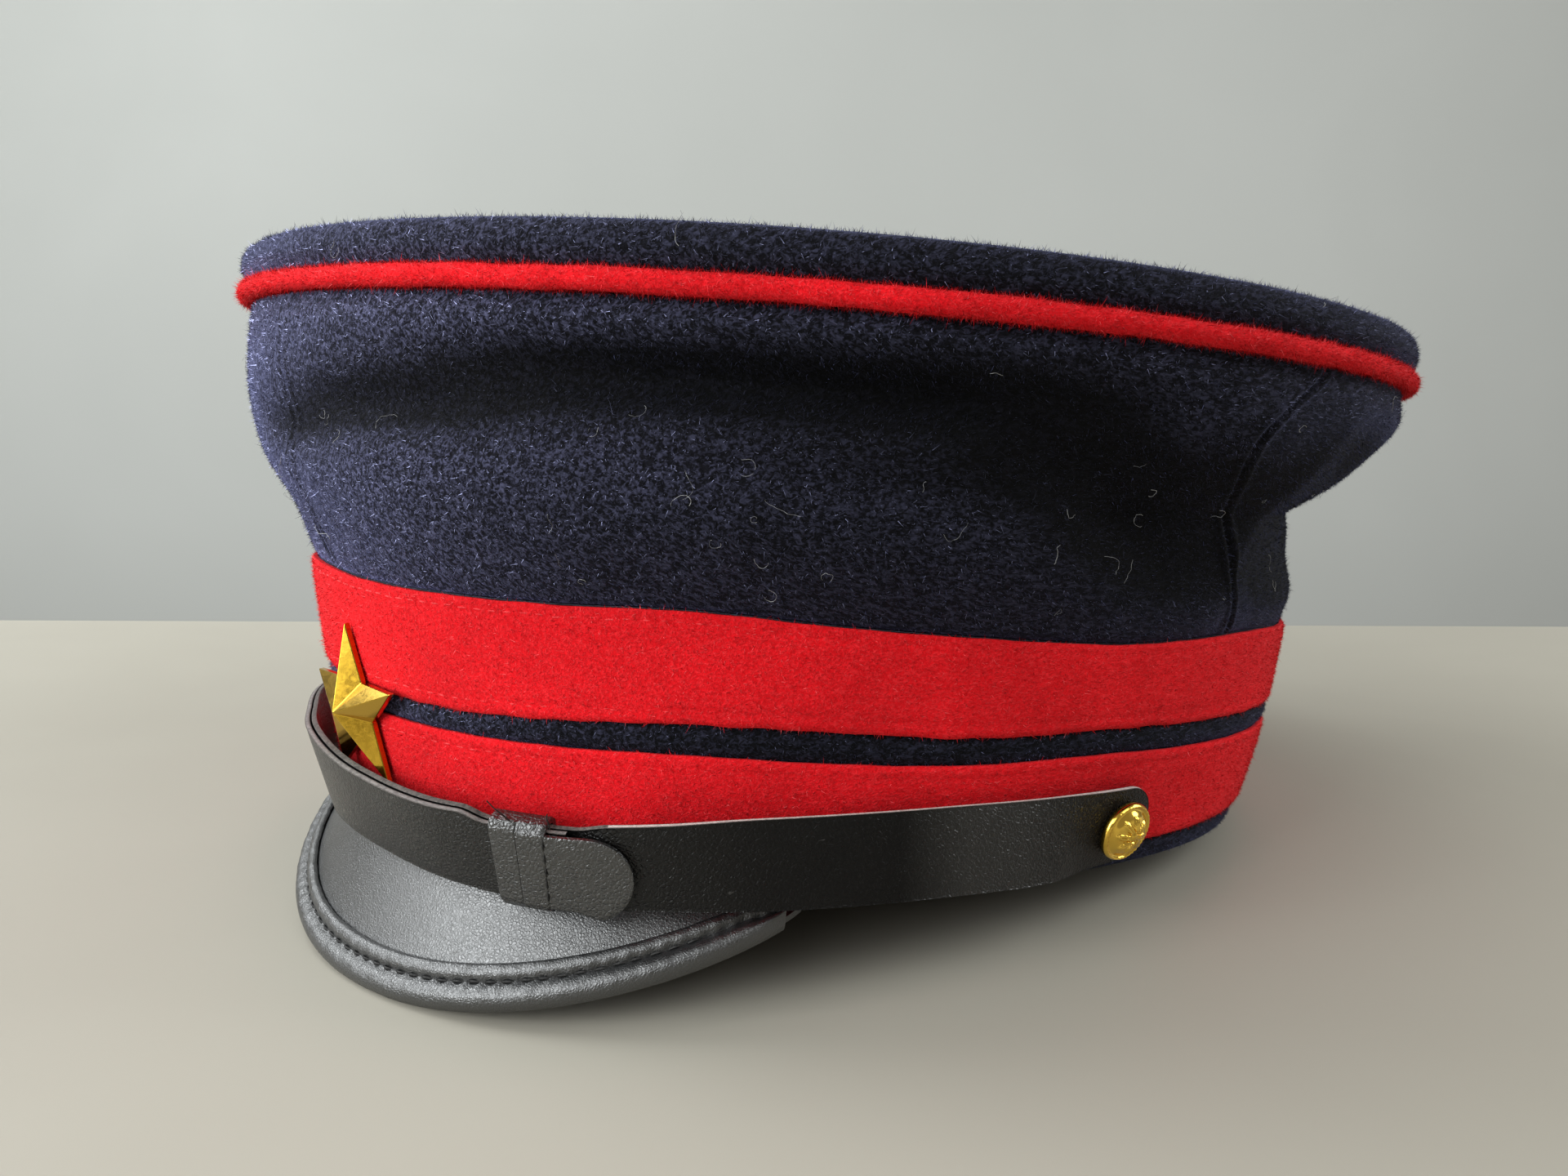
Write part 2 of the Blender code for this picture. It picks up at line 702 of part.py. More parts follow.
def build_button(name, angle, frame):
    """A domed button with a raised rim, on the strap's outer face."""
    centre = strap_point(angle, 0.0, 0.0)
    out = (strap_point(angle, 0.0, 1.0) - centre).normalized()
    up = (strap_point(angle, 1.0, 0.0) - centre).normalized()
    side = up.cross(out)
    sections = []
    for k in range(BUTTON_SIDES):
        turn = 2 * math.pi * k / BUTTON_SIDES
        spoke = (side * math.cos(turn) + up * math.sin(turn)) * BUTTON_RADIUS
        sections.append([centre + spoke * row.share + out * row.lift for row in BUTTON_ROWS])
    points, faces = bridge(sections, True)
    size = len(BUTTON_ROWS)
    faces = [face for face in faces if face[0] % size != size - 1]
    back = len(points)
    crest = back + 1
    points.append(centre + out * BUTTON_ROWS[0].lift)
    points.append(centre + out * BUTTON_CREST)
    for k in range(BUTTON_SIDES):
        here = k * size
        there = ((k + 1) % BUTTON_SIDES) * size
        faces.append((here, there, back))
        faces.append((there + size - 1, here + size - 1, crest))
    return add_object(name, (points, faces), GILT, frame)


def build_star(frame):
    """The faceted star, flat behind, at the front of the band."""
    out = wall_normal(STAR_ANGLE)
    slope = math.atan(BAND_FLARE)
    up = Vector((0, 0, 1)) * math.cos(slope) + out * math.sin(slope)
    out = out * math.cos(slope) - Vector((0, 0, 1)) * math.sin(slope)
    side = up.cross(out)
    centre = off_wall(STAR_ANGLE, STAR_CENTRE_HEIGHT, RED_THICKNESS + 2 * GAP)
    points = []
    corners = 2 * STAR_ARMS
    for k in range(corners):
        radius = STAR_RADIUS * (STAR_INNER_RATIO if k % 2 else 1.0)
        turn = math.radians(90 + STAR_TURN + 360 * k / corners)
        points.append(centre + (side * math.cos(turn) + up * math.sin(turn)) * radius)
    points += [point + out * STAR_EDGE for point in points]
    back = len(points)
    apex = back + 1
    points.append(centre)
    points.append(centre + out * STAR_APEX)
    faces = []
    for k in range(corners):
        after = (k + 1) % corners
        faces.append((k, after, corners + after, corners + k))
        faces.append((corners + k, corners + after, apex))
        faces.append((after, k, back))
    return add_object("star", (points, faces), GILT, frame)


def stand_on_floor(frame, pieces):
    """Tilt the cap back as it rests, set it on the floor, centre it, and press what it stands on flat."""
    frame.rotation_euler = (math.radians(-TILT), 0.0, 0.0)
    bpy.context.view_layer.update()
    corners = [frame.matrix_world @ vertex.co for piece in pieces for vertex in piece.data.vertices]
    low = min(corner.z for corner in corners)
    middle_x = (min(corner.x for corner in corners) + max(corner.x for corner in corners)) / 2
    middle_y = (min(corner.y for corner in corners) + max(corner.y for corner in corners)) / 2
    frame.location = (-middle_x, -middle_y, -low - REST_PRESS * MM)
    bpy.context.view_layer.update()
    place = frame.matrix_world.copy()
    back = place.inverted()
    for piece in pieces:
        for vertex in piece.data.vertices:
            world = place @ vertex.co
            if world.z < 0.0:
                world.z = 0.0
                vertex.co = back @ world


def main():
    """Clear the scene and build the cap."""
    for old in list(bpy.data.objects):
        bpy.data.objects.remove(old, do_unlink=True)
    frame = bpy.data.objects.new("cap_frame", None)
    bpy.context.scene.collection.objects.link(frame)
    build_band(frame)
    build_red_strip("red_band_lower", lambda angle: HEM_HEIGHT,
                    lambda angle: smooth_value(BAND_ROWS, "stripe_low", angle), frame)
    build_red_strip("red_band_upper", lambda angle: smooth_value(BAND_ROWS, "stripe_high", angle),
                    lambda angle: smooth_value(BAND_ROWS, "top", angle), frame)
    build_crown_side(frame)
    build_piping(frame)
    build_crown_top(frame)
    build_peak(frame)
    build_peak_binding(frame)
    build_straps(frame)
    build_keeper("keeper_left", KEEPER_START_ANGLE, frame)
    build_keeper("keeper_right", KEEPER_RIGHT_START_ANGLE, frame)
    build_button("button_left", BUTTON_ANGLE, frame)
    build_button("button_right", -BUTTON_ANGLE, frame)
    build_star(frame)
    pieces = [piece for piece in bpy.data.objects if piece.type == "MESH"]
    stand_on_floor(frame, pieces)


main()
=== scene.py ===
"""A military peaked cap: cloth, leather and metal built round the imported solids.

Sizes are in millimetres and degrees, in the cap's own upright frame: an angle of 0 is the front (-Y) and
angles grow towards the wearer's left (+X); heights are measured from the hem. Standing.place carries
points to where the cap stands, in metres.
"""

import sys
import logging
import math
from dataclasses import dataclass
from enum import Enum
from typing import Callable, Dict, List, NamedTuple, Optional, Sequence, Tuple

import bpy
import numpy as np
from mathutils import Euler, Matrix, Vector


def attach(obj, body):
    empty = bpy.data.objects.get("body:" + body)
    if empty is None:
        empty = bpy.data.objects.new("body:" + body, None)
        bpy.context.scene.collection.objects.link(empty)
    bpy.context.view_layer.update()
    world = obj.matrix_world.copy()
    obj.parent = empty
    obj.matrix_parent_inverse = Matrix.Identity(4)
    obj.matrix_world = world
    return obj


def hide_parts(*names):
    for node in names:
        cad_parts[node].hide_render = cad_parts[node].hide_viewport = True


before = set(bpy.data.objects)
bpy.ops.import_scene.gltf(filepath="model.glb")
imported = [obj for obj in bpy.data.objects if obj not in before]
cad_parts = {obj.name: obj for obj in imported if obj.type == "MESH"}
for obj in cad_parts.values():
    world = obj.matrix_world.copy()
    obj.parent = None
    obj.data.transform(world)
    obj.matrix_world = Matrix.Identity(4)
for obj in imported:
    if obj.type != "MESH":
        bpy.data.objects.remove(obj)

LOG = logging.getLogger("cap")
MM = 0.001
BODY = "root"

Array = np.ndarray
Surface = Callable[[Array, Array], Array]
Pairs = Tuple[Tuple[float, float], ...]
Node = bpy.types.Node
Socket = bpy.types.NodeSocket
Tree = bpy.types.NodeTree
Material = bpy.types.Material
Object = bpy.types.Object
Colour = Tuple[float, float, float]


# Tables of the cap's form


class BandRow(NamedTuple):
    """Heights of the band's edges at an angle, and how far its top is drawn in."""

    angle: float
    stripe_low: float
    stripe_high: float
    top: float
    pinch: float


class Fold(NamedTuple):
    """One fold of the crown's side: its place, its reach round and up, its push out and its softness."""

    name: str
    angle: float
    height: float
    round_reach: float
    up_reach: float
    push: float
    softness: float


class StrapRow(NamedTuple):
    """How far the strap stands off the wall at its two edges, and the height of its middle."""

    angle: float
    top_off: float
    bottom_off: float
    height: float


class Seam(NamedTuple):
    """A seam up the crown's side: its middle angle, its course, its depth, its raised lips and its width.

    The course gives its angle at shares of the way up.
    """

    name: str
    middle: float
    course: Pairs
    depth: float
    lip: float
    width: float


BAND_ROWS = (
    BandRow(-180, 22.0, 26.8, 44.0, 0.0),
    BandRow(-100, 22.2, 27.0, 43.6, 0.6),
    BandRow(-40, 22.0, 26.6, 44.6, 0.0),
    BandRow(-15, 21.8, 26.2, 45.0, 0.0),
    BandRow(0, 21.8, 25.8, 44.0, 0.0),
    BandRow(12, 21.8, 25.6, 44.0, 0.0),
    BandRow(25, 22.1, 26.5, 44.4, 0.0),
    BandRow(38, 22.6, 27.6, 45.1, 0.0),
    BandRow(52, 22.2, 27.4, 44.0, 0.0),
    BandRow(65, 21.9, 26.6, 43.1, 0.0),
    BandRow(80, 22.6, 27.3, 42.4, 0.4),
    BandRow(90, 22.3, 27.1, 43.3, 1.2),
    BandRow(100, 22.2, 27.1, 44.4, 2.2),
    BandRow(120, 22.1, 26.9, 44.3, 2.6),
    BandRow(150, 22.0, 26.8, 44.2, 1.0),
    BandRow(180, 22.0, 26.8, 44.0, 0.0),
)

FOLDS = (
    Fold("near belly", 38, 0.30, 34, 0.22, 3.0, 2.0),
    Fold("near shoulder", 36, 0.92, 36, 0.08, 1.8, 2.0),
    Fold("valley start", -8, 0.52, 10, 0.09, -2.4, 2.0),
    Fold("valley front", 8, 0.63, 14, 0.10, -4.0, 2.0),
    Fold("valley middle", 33, 0.76, 18, 0.10, -6.2, 2.0),
    Fold("valley end", 52, 0.79, 12, 0.10, -4.2, 2.0),
    Fold("droop top", 63, 0.64, 8, 0.12, -4.8, 2.0),
    Fold("droop middle", 70, 0.48, 6, 0.13, -4.2, 2.0),
    Fold("droop foot", 76, 0.34, 7, 0.15, -3.2, 2.0),
    Fold("plateau over the droop", 73, 0.76, 9, 0.12, 1.8, 2.0),
    Fold("left seam crease", 113, 0.49, 36, 0.20, -14.5, 1.3),
    Fold("left seam hollow", 108, 0.30, 28, 0.15, -5.0, 2.0),
    Fold("left seam ridge", 88, 0.45, 3.5, 0.45, 1.8, 1.6),
    Fold("fan fold", 97, 0.70, 6, 0.12, -1.8, 1.6),
    Fold("left back shoulder", 112, 0.88, 26, 0.10, 1.8, 2.0),
    Fold("back belly", 162, 0.32, 24, 0.20, 2.6, 2.0),
    Fold("back valley", 168, 0.70, 26, 0.11, -4.0, 2.0),
    Fold("right back crease", -112, 0.45, 24, 0.17, -8.0, 1.5),
    Fold("right seam ridge", -104, 0.45, 4.0, 0.45, 1.4, 1.6),
    Fold("right belly", -66, 0.30, 24, 0.21, 2.2, 2.0),
    Fold("right valley", -62, 0.74, 17, 0.10, -4.0, 2.0),
    Fold("front seam ridge", -16, 0.45, 3.5, 0.50, 0.6, 1.6),
    Fold("front slope", -22, 0.22, 18, 0.15, -1.9, 2.0),
)

STRAP_ROWS = (
    StrapRow(-92, 3.4, 3.9, 9.9),
    StrapRow(-80, 3.7, 4.3, 9.9),
    StrapRow(-62, 8.0, 6.6, 9.0),
    StrapRow(-45, 11.4, 6.9, 7.6),
    StrapRow(-30, 8.2, 4.4, 6.1),
    StrapRow(-15, 6.9, 4.5, 6.1),
    StrapRow(0, 8.0, 4.2, 5.2),
    StrapRow(12, 9.7, 5.6, 4.7),
    StrapRow(20, 9.0, 6.3, 4.7),
    StrapRow(28, 8.7, 6.5, 4.7),
    StrapRow(36, 8.1, 7.1, 5.7),
    StrapRow(45, 6.9, 8.3, 7.1),
    StrapRow(62, 5.0, 7.5, 8.6),
    StrapRow(74, 4.7, 6.8, 9.2),
    StrapRow(79, 4.6, 4.4, 9.4),
    StrapRow(84, 4.3, 3.3, 9.6),
    StrapRow(92, 3.6, 3.3, 9.9),
)

SEAMS = (
    Seam("left seam", 84.0, ((0.0, 94.0), (0.12, 91.4), (0.24, 88.4), (0.36, 85.6), (0.46, 82.8),
                             (0.56, 79.8), (0.68, 76.9), (0.76, 76.1), (0.86, 77.6), (1.0, 80.6)),
         0.36, 0.46, 0.72),
    Seam("front seam", -8.0, ((0.0, -9.0), (0.3, -8.5), (0.65, -7.7), (1.0, -7.2)), 0.02, 0.30, 0.90),
    Seam("right seam", -104.0, ((0.0, -104.5), (0.5, -104.0), (1.0, -103.5)), 0.7, 0.35, 0.42),
    Seam("back seam", 174.0, ((0.0, 174.0), (0.5, 174.0), (1.0, 174.0)), 0.6, 0.30, 0.42),
)


# Arithmetic shared by all pieces


class SmoothTable:
    """Smooth curves through a table whose first column is an angle or a height."""

    def __init__(self, rows: Sequence[Sequence[float]]) -> None:
        """Keep the table's knots and columns.

        Args:
            rows: The table's rows, in rising order of their first value.
        """
        self.names = getattr(rows[0], "_fields", ())
        self.values = np.array([list(row) for row in rows], float)
        self.knots = self.values[:, 0]

    def read(self, name: str, place: Array) -> Array:
        """Read a column's curve by the column's name."""
        return self.at(self.names.index(name), place)

    def at(self, column: int, place: Array) -> Array:
        """Read one column's curve, flat beyond the first and last row.

        Args:
            column: Number of the column, counted from the knots at 0.
            place: Angles or heights to read at.

        Returns:
            The curve's values.
        """
        knots, values = self.knots, self.values[:, column]
        slopes = np.zeros(len(knots))
        slopes[1:-1] = (values[2:] - values[:-2]) / (knots[2:] - knots[:-2])
        place = np.asarray(place, float)
        i = np.clip(np.searchsorted(knots, place, side="right") - 1, 0, len(knots) - 2)
        span = knots[i + 1] - knots[i]
        t = np.clip((place - knots[i]) / span, 0.0, 1.0)
        rise = values[i + 1] - values[i]
        start, end = slopes[i] * span, slopes[i + 1] * span
        return values[i] + t * start + t * t * (3 * rise - 2 * start - end) + t ** 3 * (start + end - 2 * rise)


def smooth_step(value: Array, low: float, high: float) -> Array:
    """Ramp evenly from 0 below low to 1 above high.

    Args:
        value: Numbers to read.
        low: Where the ramp starts.
        high: Where the ramp ends.

    Returns:
        The ramp's height at each number.
    """
    t = np.clip((np.asarray(value, float) - low) / (high - low), 0.0, 1.0)
    return t * t * (3 - 2 * t)


def wrap(angle: Array) -> Array:
    """Return the same angle between -180 and 180."""
    return (np.asarray(angle, float) + 180.0) % 360.0 - 180.0


def bell(distance: Array, reach: float) -> Array:
    """Return a hump that is 1 at no distance and fades out beyond its reach."""
    return np.exp(-np.abs(np.asarray(distance, float) / reach) ** 2.0)


def unit(vectors: Array) -> Array:
    """Return vectors scaled to a length of 1."""
    length = np.linalg.norm(vectors, axis=-1, keepdims=True)
    return vectors / np.maximum(length, 1e-9)


def together(*values: Array) -> Sequence[Array]:
    """Return numbers or arrays as arrays of one shape."""
    return np.broadcast_arrays(*(np.asarray(value, float) for value in values))


def level(x: Array, y: Array, z: Array) -> Array:
    """Return points from their three coordinates, which may be arrays or numbers."""
    return np.stack(together(x, y, z), -1)


def full_turn(share: Array) -> Array:
    """Return the angles at shares of a full turn, from the back round to the back."""
    return 360.0 * share - 180.0


def even_angles(count: int) -> Array:
    """Return a column of angles that divide a full turn evenly."""
    return (-180.0 + 360.0 * np.arange(count) / count)[:, None]


def run_along(line: Array) -> Array:
    """Return how far along a line each of its points lies."""
    return np.concatenate(([0.0], np.cumsum(np.linalg.norm(np.diff(line, axis=0), axis=1))))


def read_along(places: Array, run: Array, values: Array) -> Array:
    """Return points or directions at places along a line, from those at its own points."""
    return np.stack([np.interp(places, run, values[:, k]) for k in range(3)], 1)


def slopes_of(surface: Surface, u: Array, v: Array) -> Tuple[Array, Array]:
    """Return a surface's short steps along its first coordinate and along its second."""
    step = 1e-4
    return surface(u + step, v) - surface(u - step, v), surface(u, v + step) - surface(u, v - step)


def oval(angle: Array, half_width: Array, half_length: Array, roundness: float, egg: float) -> Array:
    """Find points on an egg-shaped oval with its front at -Y.

    Args:
        angle: Angles round the oval.
        half_width: Half of its width.
        half_length: Half of its length.
        roundness: 2 for an ellipse, more for a squarer oval.
        egg: How much narrower the front is.

    Returns:
        Level points.
    """
    s, c = np.sin(np.radians(angle)), np.cos(np.radians(angle))
    x = half_width * np.sign(s) * np.abs(s) ** (2 / roundness)
    y = -half_length * np.sign(c) * np.abs(c) ** (2 / roundness)
    return level(x * (1 + egg * y / half_length), y, 0.0)


def ripple(place: Array, seed: int, waves: Sequence[int]) -> Array:
    """Give a gentle, repeatable unevenness round a full turn.

    Args:
        place: Angles in degrees.
        seed: Picks the pattern.
        waves: Whole numbers of waves in a turn.

    Returns:
        Numbers of about -1 to 1.
    """
    rng = np.random.default_rng(seed)
    total = np.zeros_like(np.asarray(place, float))
    for count in waves:
        total = total + np.sin(np.radians(place) * count + rng.uniform(0, 2 * math.pi)) * rng.uniform(0.5, 1.0)
    return total / math.sqrt(len(waves))


@dataclass(frozen=True)
class Standing:
    """How the cap stands on its peak's edge and the back of its hem."""

    tilt: float = 6.31
    shift: Tuple[float, float, float] = (0.0, -10.152, 10.737)

    def place(self, points: Array) -> Array:
        """Carry points from the cap's own frame to where they stand.

        Args:
            points: Points in millimetres.

        Returns:
            Points in metres, none below the surface that the cap stands on.
        """
        world = self.turn(points) + np.array(self.shift)
        world[..., 2] = np.maximum(world[..., 2], 0.0)
        return world * MM

    def turn(self, directions: Array) -> Array:
        """Turn directions from the cap's own frame to the standing one."""
        turn = np.array(Matrix.Rotation(math.radians(-self.tilt), 3, "X"))
        return np.asarray(directions, float) @ turn.T


STAND = Standing()


@dataclass(frozen=True)
class BandForm:
    """The flared oval wall of the head band."""

    half_width: float = 86.0
    half_length: float = 100.9
    roundness: float = 2.13
    egg: float = 0.17
    flare: float = 0.186
    height: float = 44.0
    pinch_from: float = 24.0
    cloth: float = 1.6
    hem: float = 4.6
    gap: float = 0.3
    red_thickness: float = 1.2
    turn_step: float = 2.0
    table: SmoothTable = SmoothTable(BAND_ROWS)

    def column(self, name: str, angle: Array) -> Array:
        """Read a column of the band's table by name at angles."""
        return self.table.read(name, wrap(angle))

    def wall(self, angle: Array, height: Array) -> Array:
        """Find points on the outer wall.

        Args:
            angle: Angles round the cap.
            height: Heights above the hem.

        Returns:
            Points on the wall.
        """
        angle, height = together(angle, height)
        grow = self.flare * height
        points = oval(angle, self.half_width + grow, self.half_length + grow, self.roundness, self.egg)
        points[..., 2] = height
        share = np.maximum(height - self.pinch_from, 0.0) / (self.height - self.pinch_from)
        return points - unit(points) * (self.column("pinch", angle) * share)[..., None]

    def outward(self, angle: Array) -> Array:
        """Return the level directions straight out of the wall."""
        along = self.wall(angle + self.turn_step, 0.0) - self.wall(angle - self.turn_step, 0.0)
        return unit(level(along[..., 1], -along[..., 0], 0.0))

    def off(self, angle: Array, height: Array, distance: Array) -> Array:
        """Find points that stand a level distance off the wall."""
        angle, height, distance = together(angle, height, distance)
        return self.wall(angle, height) + self.outward(angle) * distance[..., None]


BAND = BandForm()


@dataclass(frozen=True)
class CrownForm:
    """The flat oval crown, its piping and the soft side below it."""

    half_width: float = 118.9
    half_length: float = 121.2
    centre_y: float = 0.9
    height: float = 93.4
    nod: float = 1.27
    lean: float = 1.16
    piping_radius: float = 1.66
    piping_inset: float = 0.66
    clearance: float = 0.1
    side_inset: float = 1.6
    step_out: float = 0.2
    fullness: float = 5.2
    fold_fade: float = 0.05
    seam_fade: float = 0.03
    degree: float = 2.0
    lip_place: float = 1.5
    lip_reach: float = 1.0
    sewn_reach: float = 0.12
    sewn_pucker: float = 0.22
    fine_pucker: float = 0.12

    def put(self, flat: Array) -> Array:
        """Carry points of the crown's own level oval to where the crown leans."""
        lean = Matrix.Rotation(math.radians(self.lean), 3, "Y")
        nod = Matrix.Rotation(math.radians(self.nod), 3, "X")
        return flat @ np.array(lean @ nod).T + np.array((0.0, self.centre_y, self.height))

    def edge(self, angle: Array, grow: Array, rise: Array) -> Array:
        """Find points by the crown's edge, moved out by grow and up by rise."""
        angle, grow, rise = together(angle, grow, rise)
        flat = oval(angle, self.half_width + grow, self.half_length + grow, 2.0, 0.0)
        flat[..., 2] = rise
        return self.put(flat)

    def inside(self, angle: Array, share: Array, rise: Array) -> Array:
        """Find points a share of the way out from the crown's middle, at a rise above the piping."""
        angle, share, rise = together(angle, share, rise)
        flat = oval(angle, self.half_width, self.half_length, 2.0, 0.0) * share[..., None]
        flat[..., 2] = rise
        return self.put(flat)

    def folds(self, angle: Array, height: Array) -> Array:
        """Find how far the folds alone push the side's cloth outwards."""
        total = 0.0 * (angle + height)
        for fold in FOLDS:
            turn = np.abs(wrap(angle - fold.angle)) / fold.round_reach
            lift = np.abs(height - fold.height) / fold.up_reach
            total = total + fold.push * np.exp(-turn ** fold.softness - lift ** fold.softness)
        return total

    def push(self, angle: Array, height: Array) -> Array:
        """Find how far the side's cloth stands out of the straight line from band to piping.

        Args:
            angle: Angles round the cap.
            height: Shares of the way up, from 0 at the band to 1 at the piping.

        Returns:
            Distances outwards, with the folds and the seams.
        """
        ends = np.minimum(1.0, np.minimum(height, 1.0 - height) / self.fold_fade)
        total = self.fullness * np.sin(math.pi * height) + ends * self.folds(angle, height)
        held = np.minimum(1.0, np.minimum(height, 1.0 - height) / self.seam_fade)
        for seam in SEAMS:
            course = SmoothTable(seam.course).at(1, height)
            away = wrap(angle - course) * self.degree
            lips = bell(away - self.lip_place, self.lip_reach) + bell(away + self.lip_place, self.lip_reach)
            total = total - held * seam.depth * bell(away, seam.width)
            total = total + held * seam.lip * lips
        return total

    def pucker(self, angle: Array, height: Array) -> Array:
        """Find the small unevenness of the cloth, strongest where it is sewn in at the top and bottom."""
        sewn = bell(height, self.sewn_reach) + bell(1.0 - height, self.sewn_reach)
        fine = ripple(angle, 11, (47, 61, 83)) * np.sin(height * 9.0 + np.radians(angle) * 7.0)
        return self.sewn_pucker * sewn * ripple(angle, 5, (31, 43, 57, 71)) + self.fine_pucker * fine

    def side(self, angle: Array, height: Array, inset: float) -> Array:
        """Find points on the crown's side, with inset measured inwards from its outer face."""
        angle, height = together(angle, height)
        low = BAND.off(angle, BAND.column("top", angle) + BAND.gap, self.step_out - inset)
        high = self.edge(angle, -self.side_inset - inset, -self.piping_radius - self.clearance)
        line = low + (high - low) * height[..., None]
        fade = np.sin(math.pi * np.clip(height, 0.0, 1.0)) ** 0.3
        out = self.push(angle, height) + self.pucker(angle, height) * fade
        return line + BAND.outward(angle) * out[..., None]


CROWN = CrownForm()


@dataclass(frozen=True)
class PaintedLight:
    """Painted light and shade on the navy nap: palest on the wearer's right front, where the light falls, and
    painted shade where a fold pushes inwards.
    """

    least: float = 0.42
    added: float = 1.85
    middle: float = -38.0
    narrowness: float = 2.2
    fold_share: float = 0.86
    fold_depth: float = 2.6
    fold_gain: float = 0.25

    def pale(self, angle: Array, push: Array = 0.0) -> Array:
        """Find the painted light and shade on the nap, about 1, at angles where folds push the cloth outwards:
        lighter towards the lit side, painted shade in inward folds.
        """
        facing = np.clip(np.cos(np.radians(angle - self.middle)), 0.0, 1.0)
        folded = 1 + self.fold_share * np.clip(push / self.fold_depth, -1.0, self.fold_gain)
        return (self.least + self.added * facing ** self.narrowness) * folded


PAINTED_NAP_LIGHT = PaintedLight()


@dataclass(frozen=True)
class StrapForm:
    """The line of the chin strap round the front, and how its two halves lie on each other."""

    width: float = 14.8
    thickness: float = 1.0
    gap: float = 0.3
    button_angle: float = 82.6
    end_beyond_button: float = 8.0
    tongue_end: float = 33.6
    tongue_drop: float = 1.6
    rise_from: float = 27.6
    rise_to: float = 31.0
    squeeze: float = 1.5
    squeeze_from: float = 15.4
    squeeze_to: float = 18.7
    inner_tip: float = -64.0
    table: SmoothTable = SmoothTable(STRAP_ROWS)

    def point(self, angle: Array, across: Array, depth: Array) -> Array:
        """Find points on the strap.

        Args:
            angle: Angles round the cap.
            across: Distances up from the strap's middle line.
            depth: Distances outwards from the strap's outer face.

        Returns:
            Points on or off the strap.
        """
        angle, across, depth = together(angle, across, depth)
        height = self.table.read("height", angle)
        half = self.width / 2
        bottom = BAND.off(angle, height - half, self.table.read("bottom_off", angle))
        top = BAND.off(angle, height + half, self.table.read("top_off", angle))
        up = unit(top - bottom)
        out = BAND.outward(angle)
        out = unit(out - up * np.sum(out * up, -1, keepdims=True))
        return (bottom + top) / 2 + up * across[..., None] + out * depth[..., None]

    def reach(self, start: float, distance: float) -> float:
        """Find the angle that a distance along the strap leads to from a start angle."""
        angles = np.linspace(-110.0, 110.0, 2201)
        line = self.point(angles, 0.0, 0.0)
        run = run_along(line)
        return float(np.interp(np.interp(start, angles, run) + distance, run, angles))

    def rise(self, angle: Array) -> Array:
        """Return 0 where the two halves lie flat under the keeper and 1 where both have come out."""
        return smooth_step(angle, self.rise_from, self.rise_to)

    def press(self, angle: Array) -> Array:
        """Return how far the left keeper presses the top edge down."""
        return self.squeeze * smooth_step(angle, self.squeeze_from, self.squeeze_to) * (1 - self.rise(angle))


STRAP = StrapForm()


@dataclass(frozen=True)
class PeakForm:
    """The steep sheet of the peak under the hem, and the place of its binding."""

    half_angle: float = 50.5
    reach: float = 8.9
    corner_reach: float = 0.9
    corner_power: float = 6.0
    drop: float = 26.0
    drop_angle: float = 54.5
    drop_power: float = 0.93
    forward: float = 0.086
    start_height: float = 3.1
    thickness: float = 1.4
    root_drop: float = 0.7
    root_off: float = 0.4
    lip_gap: float = 0.35
    lip_step: float = 0.5
    binding_width: float = 7.4
    binding_wall: float = 1.0
    binding_half_angle: float = 48.4
    binding_room: float = 1.6
    gap: float = 0.3

    def line(self, angle: Array) -> Tuple[Array, Array, Array, Array]:
        """Find the top face's straight lines from the hem to the edge.

        Args:
            angle: Angles across the peak.

        Returns:
            Roots, directions down the face, directions out of it, and lengths.
        """
        angle = np.asarray(angle, float)
        out = BAND.outward(angle)
        ahead = unit(out * (1 - self.forward) + np.array((0.0, -1.0, 0.0)) * self.forward)
        share = np.abs(angle) / self.half_angle
        spread = np.sqrt(np.maximum(0.0, 1 - share ** self.corner_power))
        reach = self.corner_reach + (self.reach - self.corner_reach) * spread
        drop = self.drop * np.maximum(1 - (angle / self.drop_angle) ** 2, 0.0) ** self.drop_power
        root = BAND.off(angle, -self.root_drop, self.root_off)
        edge = BAND.wall(angle, self.start_height) + ahead * reach[..., None]
        edge[..., 2] -= drop
        length = np.linalg.norm(edge - root, axis=-1)
        down = unit(edge - root)
        away = unit(np.cross(np.cross(out, np.array((0.0, 0.0, 1.0))), down))
        away = away * np.where(away[..., 2:3] < 0, -1.0, 1.0)
        return root, down, away, length

    def angles(self, half: float, count: int) -> Array:
        """Return angles across the peak, closer together near its corners."""
        angles = self.half_angle * np.sin(np.pi / 2 * np.linspace(-1.0, 1.0, count))
        return angles[np.abs(angles) <= half]

    def binding_reach(self, length: Array) -> Array:
        """Return how far the binding reaches up the peak, less where the peak is short."""
        return np.minimum(self.binding_width, np.maximum(length - self.binding_room, self.binding_room))


PEAK = PeakForm()


# Meshes


def grid_faces(rows: int, columns: int, closed_rows: bool, closed_columns: bool) -> Array:
    """Join a grid of points, row after row, with four-sided faces.

    Args:
        rows: Number of rows.
        columns: Number of points in a row.
        closed_rows: Join the last row to the first.
        closed_columns: Join the last point of each row to its first.

    Returns:
        Point numbers, four to a face.
    """
    i = np.arange(rows if closed_rows else rows - 1)[:, None]
    j = np.arange(columns if closed_columns else columns - 1)[None, :]
    i_next, j_next = (i + 1) % rows, (j + 1) % columns
    corners = (i * columns + j, i * columns + j_next, i_next * columns + j_next, i_next * columns + j)
    return np.stack([corner + 0 * i + 0 * j for corner in corners], -1).reshape(-1, 4)


